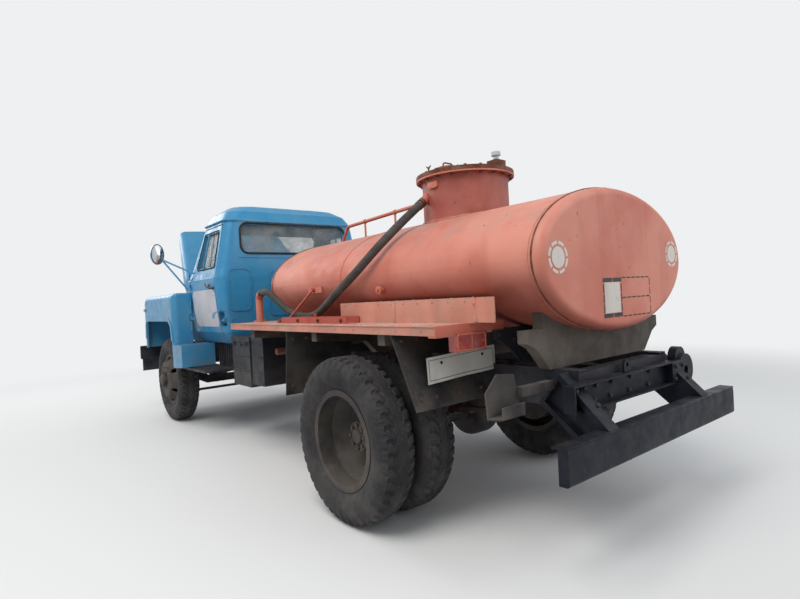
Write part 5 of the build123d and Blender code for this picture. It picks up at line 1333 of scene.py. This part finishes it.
def add_mirror_faces():
    """Silvered glass that faces the driver, with its rim and the bolt behind."""
    for side, sign in SIDES:
        centre = vec(MIRROR_PLACE.x, sign * MIRROR_PLACE.y, MIRROR_PLACE.z)
        rim = Shape()
        ring = [centre + vec(-0.0175, 0.061 * math.cos(t), 0.103 * math.sin(t)) for t in turns(40)]
        rim.tube(ring, 0.0048, 8, closed=True)
        rim.bolt(centre + vec(0.0165, 0, 0), FORWARD, 0.016, 0.010)
        put(f"mirror_{side}_rim", rim, "black_plastic")
        rings = []
        for share in (1.0, 0.75, 0.5, 0.25, 0.04):
            bulge = -0.0180 - 0.0025 * (1 - share * share)
            rings.append([centre
                          + vec(bulge, 0.060 * share * math.cos(t), 0.102 * share * math.sin(t))
                          for t in turns(40)])
        face = Shape().skin(rings, ends=False)
        put(f"mirror_{side}_glass", face, "bare_steel", material=MIRROR, crease=80)


def cushion(low, high, crown, panels, roll=0.026):
    """Sprung seat block: a crowned top with sewn flutes and a rolled edge."""
    across_count, along_count = 12 * panels, 22
    size = high - low
    top = {}
    for i in range(across_count + 1):
        for j in range(along_count + 1):
            u, v = i / across_count, j / along_count
            edge = min(u, 1 - u) * size.y, min(v, 1 - v) * size.x
            drop = sum(roll * (1 - min(1.0, e / roll)) ** 2 for e in edge)
            swell = crown * math.sin(math.pi * u) ** 0.5 * math.sin(math.pi * v) ** 0.6
            flute = 0.007 * abs(math.sin(math.pi * u * panels)) ** 0.6
            sag = -0.010 * math.exp(-((u - 0.78) / 0.14) ** 2 - ((v - 0.5) / 0.3) ** 2)
            top[i, j] = vec(low.x + size.x * v, low.y + size.y * u,
                            high.z - drop + swell + flute + sag)
    number = {key: k for k, key in enumerate(top)}
    total = len(top)
    faces = []
    for i in range(across_count):
        for j in range(along_count):
            a, b, c, d = (number[key] for key in ((i, j), (i, j + 1), (i + 1, j + 1), (i + 1, j)))
            faces.append((a, b, c, d))
            faces.append((total + d, total + c, total + b, total + a))
    rim = [(i, 0) for i in range(across_count)] + [(across_count, j) for j in range(along_count)]
    rim += [(i, along_count) for i in range(across_count, 0, -1)]
    rim += [(0, j) for j in range(along_count, 0, -1)]
    for a, b in zip(rim, rim[1:] + rim[:1]):
        faces.append((number[a], number[b], total + number[b], total + number[a]))
    shape = Shape().add([*top.values(), *(vec(p.x, p.y, low.z) for p in top.values())], faces)
    return shape, [top[key] - 0.004 * UP for key in rim]


def add_seat():
    shape, piping = cushion(vec(0.872, -0.556, 1.092), vec(1.328, 0.556, 1.218), 0.012, 8)
    tilt = Matrix.Translation((0.875, 0, 1.19)) @ Matrix.Rotation(math.radians(-98), 4, "Y")
    back, back_piping = cushion(vec(0.02, -0.552, -0.062), vec(0.452, 0.552, 0.030), 0.012, 8)
    back.turned(tilt)
    shape.add(back.verts, back.faces)
    seat = put("seat_cushions", shape, "seat_cover", stands_for=("seat",), crease=50)
    trim = Shape().tube(piping, 0.0042, 6, closed=True)
    trim.tube([tilt @ p for p in back_piping], 0.0042, 6, closed=True)
    put("seat_piping", trim, "black_plastic")
    base = Shape().block((0.875, -0.540, 0.9145), (1.300, 0.540, 1.0935), 0.006)
    for y in (-0.27, 0.27):
        base.block((1.296, y - 0.225, 0.945), (1.304, y + 0.225, 1.065), 0.003)
    put("seat_base", base, "chassis_paint")


def add_levers():
    """Gear lever in its boot and the hand brake beside it."""
    floor = tree_of("cab_floor")
    levers = Shape()
    foot = landed(floor, (1.42, 0.0, 1.30), -UP)
    levers.lathe([(0, 0.060), (0.012, 0.052), (0.040, 0.020), (0.060, 0.012)], foot - 0.001 * UP,
                 UP, 24)
    stick = [foot + vec(0, 0, 0.05), foot + vec(0.0, 0.01, 0.20), foot + vec(-0.06, 0.03, 0.42)]
    levers.tube(stick, [0.010, 0.009, 0.008], 10)
    knob = [(0, 0.008), (0.006, 0.020), (0.022, 0.024), (0.036, 0.016), (0.040, 0.004)]
    levers.lathe(knob, foot + vec(-0.060, 0.030, 0.415), (-0.14, 0.05, 1), 20)
    brake = landed(floor, (1.36, -0.16, 1.30), -UP)
    levers.tube([brake, brake + vec(-0.03, 0, 0.16), brake + vec(-0.09, 0, 0.30)],
                [0.011, 0.009, 0.011], 10)
    levers.block(brake - vec(0.04, 0.012, 0.002), brake + vec(0.04, 0.012, 0.03), 0.003)
    put("cab_levers", levers, "black_plastic")


def add_pedals():
    pedals = Shape()
    turn = Matrix.Rotation(math.radians(-52), 3, "Y")
    for y, half in ((0.52, 0.036), (0.36, 0.036), (0.20, 0.026)):
        pad = vec(1.545, y, 1.055)
        pedals.block(pad - vec(0.050, half, 0.006), pad + vec(0.050, half, 0.006), 0.003, turn)
        for k in range(4):
            rib = pad + turn @ vec(-0.036 + 0.024 * k, 0, 0.007)
            pedals.tube([rib - half * 0.85 * LEFT, rib + half * 0.85 * LEFT], 0.003, 6)
        pedals.tube([pad, pad + vec(0.045, 0, -0.05), pad + vec(0.075, 0, -0.10)], 0.008, 8)
    put("pedals", pedals, "bare_steel")


def add_dials():
    dash = tree_of("dashboard")
    dials = Shape()
    rims = Shape()
    for y, radius in ((0.47, 0.036), (0.37, 0.046), (0.27, 0.036), (0.18, 0.026), (0.115, 0.026)):
        place = landed(dash, (1.40, y, 1.445), FORWARD)
        rim = [(-0.002, radius), (0.006, radius), (0.008, radius - 0.004), (0.004, radius - 0.006)]
        rims.lathe(rim, place, -FORWARD, 28, ends=False)
        dials.lathe([(0.001, radius - 0.004), (0.003, radius - 0.006), (0.0035, 0.002)], place,
                    -FORWARD, 28)
        needle = [place + vec(-0.0045, 0, 0), place + vec(-0.0045, radius * 0.45, radius * 0.5)]
        rims.tube(needle, 0.0012, 6)
    put("dial_rims", rims, "bare_steel", material=CHROME)
    put("dial_faces", dials, "black_plastic", material=SIGN_DARK)


STEP_LOW = 0.60


def add_step_treads():
    """Raised bars of the steps' chequer plate, where the plate lies below them."""
    tree = tree_of("steps")
    bars = Shape()
    low, high = vec(-0.010, -0.003, -0.001), vec(0.010, 0.003, 0.0022)
    for i in range(22):
        for j in range(8):
            x = 0.835 + 0.033 * i + (0.016 if j % 2 else 0)
            turn = Matrix.Rotation(math.radians(45 if (i + j) % 2 else -45), 3, "Z")
            for place in laid(tree, [(x, 0.675 + 0.036 * j, 0.80)], -UP, 0.0004):
                if place.z > STEP_LOW:
                    bars.block(place + low, place + high, 0.0009, turn, 1)
    put("step_treads", bars.mirrored(), "chassis_paint")


def add_cab_seams():
    """Gutters over the doors and the screws of the back wall."""
    line = laid(tree_of("cab_roof"), [(x, 1.6, 2.042) for x in spaced(0.78, 1.36, 16)], -LEFT,
                0.001)
    put("roof_gutters", Shape().tube(line, 0.0055, 8).mirrored(), "cab_paint")
    back = tree_of("cab_back")
    screws = Shape()
    studs(screws, back, row((-0.5, -0.60, 1.688), (-0.5, 0.60, 1.688), 9), FORWARD, 0.012, 0.004,
          rivet=True)
    starts = [(-0.5, y, z) for y, z in ((0.70, 1.10), (-0.70, 1.10), (0.72, 1.45), (-0.72, 1.45))]
    studs(screws, back, starts, FORWARD, 0.014, 0.006)
    put("cab_back_screws", screws, "cab_paint")


# Front and engine bay
LAMP = Vector((2.752, 0.51, 1.06))
LAMP_RADIUS = 0.0925
SIDE_LAMP = Vector((2.648, 1.016, 1.23))
CORE_FACES = (2.5485, 2.6315)
CORE_HALF = 0.290
FINS = 24
FIN_PITCH = 0.0195


def add_front_lamps():
    """Lamp rims, amber lenses and the bolts of the bumper and grille."""
    grille = tree_of("grille", "headlamps")
    rims = Shape()
    amber = Shape()
    for sign in (1, -1):
        lamp = vec(LAMP.x, sign * LAMP.y, LAMP.z)
        rims.tube(circle(lamp, LAMP_RADIUS, FORWARD), 0.0065, 10, closed=True)
        for k in range(3):
            turn = math.pi / 2 + 2 * math.pi * k / 3
            screw = lamp + vec(0.005, LAMP_RADIUS * math.cos(turn), LAMP_RADIUS * math.sin(turn))
            rims.dome(screw, FORWARD, 0.005, 0.004)
        place = landed(grille, (3.2, sign * 0.58, 1.178), -FORWARD)
        rims.tube(circle(place + vec(0.001, 0, 0), 0.034, FORWARD, 30), 0.004, 8, closed=True)
        amber.lathe([(-0.001, 0.032), (0.006, 0.030), (0.011, 0.020), (0.013, 0.004)], place,
                    FORWARD, 28)
        side_lens = [(-0.004, 0.024), (0.010, 0.022), (0.016, 0.014), (0.018, 0.004)]
        amber.lathe(side_lens, (SIDE_LAMP.x, sign * SIDE_LAMP.y, SIDE_LAMP.z), sign * LEFT, 24)
    put("lamp_rims", rims, "bare_steel", material=CHROME)
    put("amber_lenses", amber, "lamp_red", material=AMBER)
    bolts = Shape()
    on_bumper = [(2.882, y, 1.0) for y in (-0.86, -0.42, -0.36, 0.36, 0.42, 0.86)]
    on_grille = [(3.3, y, z) for y in (-0.61, -0.3, 0.3, 0.61) for z in (0.865, 1.205)]
    studs(bolts, tree_of("bumper"), on_bumper, -UP, 0.022, 0.010)
    studs(bolts, tree_of("grille"), on_grille, -FORWARD, 0.014, 0.006)
    put("front_bolts", bolts, "rusty_steel")


def add_radiator_details():
    """Fins and frames on both faces of the core, the cap, and two hoses to the engine."""
    core = Shape()
    for x in CORE_FACES:
        for k in range(FINS):
            z = 0.745 + FIN_PITCH * k
            core.block((x - 0.0018, -0.285, z - 0.0035), (x + 0.0018, 0.285, z + 0.0035), 0.001,
                       segments=1)
        for y in (-CORE_HALF, CORE_HALF):
            core.block((x - 0.003, y - 0.008, 0.72), (x + 0.003, y + 0.008, 1.225), 0.0015,
                       segments=1)
    cap = [(-0.001, 0.022), (0.012, 0.022), (0.013, 0.031), (0.024, 0.031), (0.027, 0.024)]
    core.lathe(cap, landed(tree_of("radiator"), (2.59, 0.0, 1.6), -UP), UP, 24)
    put("radiator_core", core, "bare_steel")
    engine = tree_of("engine")
    hoses = Shape()
    clamps = Shape()
    for y, z, end_z in ((0.10, 1.215, 1.02), (-0.16, 0.770, 0.97)):
        start = vec(2.552, y, z)
        end = landed(engine, (2.552, y * 0.5, end_z), -FORWARD)
        line = [start, start - vec(0.05, 0, 0.003), start.lerp(end, 0.55) - 0.01 * UP,
                end + vec(0.035, 0, 0),
                end - vec(0.004, 0, 0)]
        hoses.tube(line, 0.021, 16)
        for place, ahead in ((line[0].lerp(line[1], 0.4), line[1]),
                             (line[3].lerp(line[4], 0.3), line[4])):
            clamps.band(0.0215, 0.0240, -0.006, 0.006, place, ahead - place)
    put("radiator_hoses", hoses, "hose_rubber")
    put("radiator_clamps", clamps, "bare_steel")


def add_ignition():
    """Distributor cap with a lead to each plug."""
    engine = tree_of("engine")
    cap = landed(engine, (1.86, 0.0, 1.45), -UP)
    leads = Shape()
    profile = [(-0.004, 0.042), (0.030, 0.042), (0.036, 0.036), (0.052, 0.034), (0.056, 0.026)]
    leads.lathe(profile, cap, UP, 28)
    for side in (-1, 1):
        for k in range(4):
            plug = landed(engine, (1.845 + 0.125 * k, side * 0.60, 0.985), -side * LEFT)
            turn = side * (0.5 + 0.6 * k)
            post = cap + vec(0.026 * math.cos(turn), 0.026 * math.sin(turn), 0.052)
            leads.lathe([(0, 0.006), (0.012, 0.005)], post, UP, 8)
            middle = post.lerp(plug, 0.45) + vec(0, side * 0.02, 0.060)
            near = plug + vec(0, side * 0.035, 0.012)
            rise = [post + 0.008 * UP, post + vec(0, side * 0.006, 0.036)]
            leads.tube([*rise, middle, near.lerp(middle, 0.35), near, plug], 0.0038, 8)
            leads.lathe([(-0.002, 0.009), (0.022, 0.008), (0.026, 0.005)], plug, (0, side, 0.2), 12)
    put("ignition_leads", leads, "black_plastic")


def add_engine_bolts():
    engine = tree_of("engine")
    bolts = Shape()
    top = landed(engine, (2.06, 0.0, 1.6), -UP)
    bolts.lathe([(-0.001, 0.016), (0.003, 0.016), (0.004, 0.008), (0.014, 0.008)], top, UP, 16)
    for way in (-1, 1):
        bolts.tube([top + vec(0, way * 0.004, 0.010), top + vec(0, way * 0.022, 0.022)],
                   [0.005, 0.0035], 8)
    for y in (-0.17, -0.09, 0.09, 0.17):
        studs(bolts, engine, row((1.80, y, 1.6), (2.29, y, 1.6), 6), -UP, 0.014, 0.009)
    put("engine_bolts", bolts, "bare_steel")


def add_wiring_loom():
    wings = tree_of("inner_wings")
    loom = Shape()
    for side in (-1, 1):
        starts = [(x, 0.0, 1.16 - 0.02 * math.sin(9 * x)) for x in spaced(1.80, 2.58, 14)]
        line = [place for place in laid(wings, starts, side * LEFT, 0.006) if abs(place.y) < 0.9]
        loom.tube(line, 0.0065, 8)
        for place in line[1::4]:
            loom.block(place - vec(0.006, 0.009, 0.011), place + vec(0.006, 0.009, 0.011), 0.002)
    put("wiring_loom", loom, "black_plastic")


LIFT = Matrix.Rotation(-BONNET_OPEN, 3, "Y")


def raised(x, y, z=1.20):
    """A point of the closed bonnet, turned up about its hinge."""
    return BONNET_HINGE + LIFT @ (vec(x, y, z) - BONNET_HINGE)


def add_bonnet_details():
    """Pressed stiffeners under the bonnet, and its catch."""
    tree = tree_of("bonnet")
    up = LIFT @ UP
    ribs = Shape()
    for x, half in ((1.92, 0.56), (2.22, 0.52), (2.52, 0.48)):
        ribs.tube(laid(tree, [raised(x, y) for y in spaced(-half, half, 17)], up, 0.002), 0.011, 10)
    for y in (-0.34, 0.34):
        ribs.tube(laid(tree, [raised(x, y) for x in spaced(1.84, 2.60, 13)], up, 0.002), 0.009, 10)
    put("bonnet_ribs", ribs, "cab_paint", "bonnet")
    place = landed(tree, raised(2.62, 0.0), up)
    catch = Shape()
    pin = [(-0.002, 0.020), (0.006, 0.020), (0.008, 0.010), (0.045, 0.009), (0.050, 0.004)]
    catch.lathe(pin, place, -up, 16)
    catch.lathe([(0.034, 0.014), (0.040, 0.015), (0.044, 0.010)], place, -up, 16)
    put("bonnet_catch", catch, "bare_steel", "bonnet")


# Wheels and underside
VALVE_TURN = 2.3


def add_valves():
    for side, sign in SIDES:
        for wheel, rim, body, radius in (("front", "rim", "wheel", 0.185),
                                         ("rear", "rims", "wheels", 0.205)):
            centre = PLACES[f"{wheel}_{side}_roll"]
            start = centre + vec(radius * math.cos(VALVE_TURN), sign * 0.40,
                                 radius * math.sin(VALVE_TURN))
            foot = landed(tree_of(f"{wheel}_{side}_{rim}"), start, -sign * LEFT)
            out = vec(0.15, sign, 0.1).normalized()
            valve = Shape()
            stem = [foot - out * 0.004, foot + out * 0.020, foot + out * 0.034]
            valve.tube(stem, [0.006, 0.005, 0.0045], 10)
            valve.lathe([(0.030, 0.0058), (0.042, 0.0058), (0.044, 0.004)], foot, out, 10)
            put(f"{wheel}_{side}_valve", valve, "black_plastic", f"{wheel}_{side}_{body}")


SPRING_Y = 0.3975
DAMPER_LOW = Vector((2.130, 0.462, 0.455))
DAMPER_HIGH = Vector((2.235, 0.462, 0.790))


def add_spring_fittings():
    """U-bolts over the axles and clips round the leaves."""
    springs = tree_of("front_springs", "rear_springs")
    fittings = Shape()
    inner, outer = SPRING_Y - 0.0385, SPRING_Y + 0.0385
    for axle_x, gap in ((2.070, 0.055), (-1.630, 0.065)):
        for x in (axle_x - gap, axle_x + gap):
            z = landed(springs, (x, SPRING_Y, 0.95), -UP).z + 0.004
            outline = ((inner, z - 0.150), (inner, z - 0.010), (inner + 0.005, z + 0.003),
                       (outer - 0.005, z + 0.003), (outer, z - 0.010), (outer, z - 0.150))
            fittings.tube([(x, a, b) for a, b in outline], 0.0075, 10)
            for y in (inner, outer):
                fittings.bolt((x, y, z - 0.135), -UP, 0.020, 0.014)
        for x in (axle_x - 0.30, axle_x + 0.30):
            for top in laid(springs, [(x, SPRING_Y, 0.95)], -UP):
                fittings.block((x - 0.014, 0.3635, top.z - 0.034),
                               (x + 0.014, 0.4315, top.z + 0.005), 0.003)
                fittings.bolt((x, 0.431, top.z - 0.010), LEFT, 0.012, 0.007)
    put("spring_clips", fittings.mirrored(), "bare_steel")


def add_dampers():
    dampers = Shape()
    axis = DAMPER_HIGH - DAMPER_LOW
    length = axis.length
    body = [(0.0, 0.018), (0.012, 0.026), (length * 0.50, 0.026), (length * 0.50, 0.031),
            (length * 0.93, 0.031), (length * 0.97, 0.018)]
    dampers.lathe(body, DAMPER_LOW, axis, 22)
    for place in (DAMPER_LOW, DAMPER_HIGH):
        dampers.band(0.013, 0.020, -0.034, 0.020, place, LEFT, 18)
        dampers.tube([place - 0.060 * LEFT, place + 0.026 * LEFT], 0.010, 12)
    put("front_dampers", dampers.mirrored(), "chassis_paint")


def add_pipes():
    """Brake and fuel pipes with their clips along the left rail and the rear axle."""
    pipes = Shape()
    rails = tree_of("rails")
    for z in (0.800, 0.782):
        starts = [(x, 0.0, z + 0.003 * math.sin(5 * x)) for x in spaced(-2.30, 1.35, 34)]
        line = [place for place in laid(rails, starts, LEFT, 0.0045) if place.y < 0.45]
        pipes.tube(line, 0.004, 8)
        for place in line[2::5]:
            pipes.block(place - vec(0.006, 0.005, 0.012), place + vec(0.006, 0.006, 0.012), 0.002)
    starts = [(-1.665, y, 0.95) for y in spaced(-0.55, 0.55, 30)]
    pipes.tube(laid(tree_of("rear_axle"), starts, -UP, 0.003), 0.004, 8)
    put("brake_pipes", pipes, "bare_steel")


for name, obj in NODES.items():
    slot = next(p["material_slot"] for p in frame["record"]["subparts"] if p["node"] == name)
    obj.data.materials.clear()
    obj.data.materials.append(OWN_MATERIALS.get(name, MATERIALS[slot]))

bpy.context.scene.view_settings.view_transform = "Standard"
add_camera()
add_world()
add_area("key", (-2.5, 4.5, 7.5), (0, 0, 1.0), 5.0, 430, (1.0, 0.98, 0.95))
add_area("fill", (-7.0, -3.0, 4.5), (0, 0, 1.0), 5.0, 140, (0.94, 0.97, 1.0))
add_area("front", (7.0, 2.0, 4.5), (1.0, 0, 1.0), 4.0, 170, (1.0, 0.99, 0.97))
add_floor()
add_hose()
add_tyres()
for add in (add_tank_welds, add_cover_fittings, add_vent_fittings, add_signs, add_deck_trim,
            add_tray_fittings, add_plate, add_tail_lamp_trim, add_rear_frame_details,
            add_mudguard_bolts,
            add_side_box_trim, add_window_seals):
    add()
for side, sign in SIDES:
    add_door_outside(side, sign)
    add_door_inside(side, sign)
for add in (add_wipers, add_mirror_faces, add_seat, add_levers, add_pedals, add_dials,
            add_step_treads,
            add_cab_seams, add_front_lamps, add_radiator_details, add_ignition, add_engine_bolts,
            add_wiring_loom, add_bonnet_details, add_valves, add_spring_fittings, add_dampers,
            add_pipes):
    add()
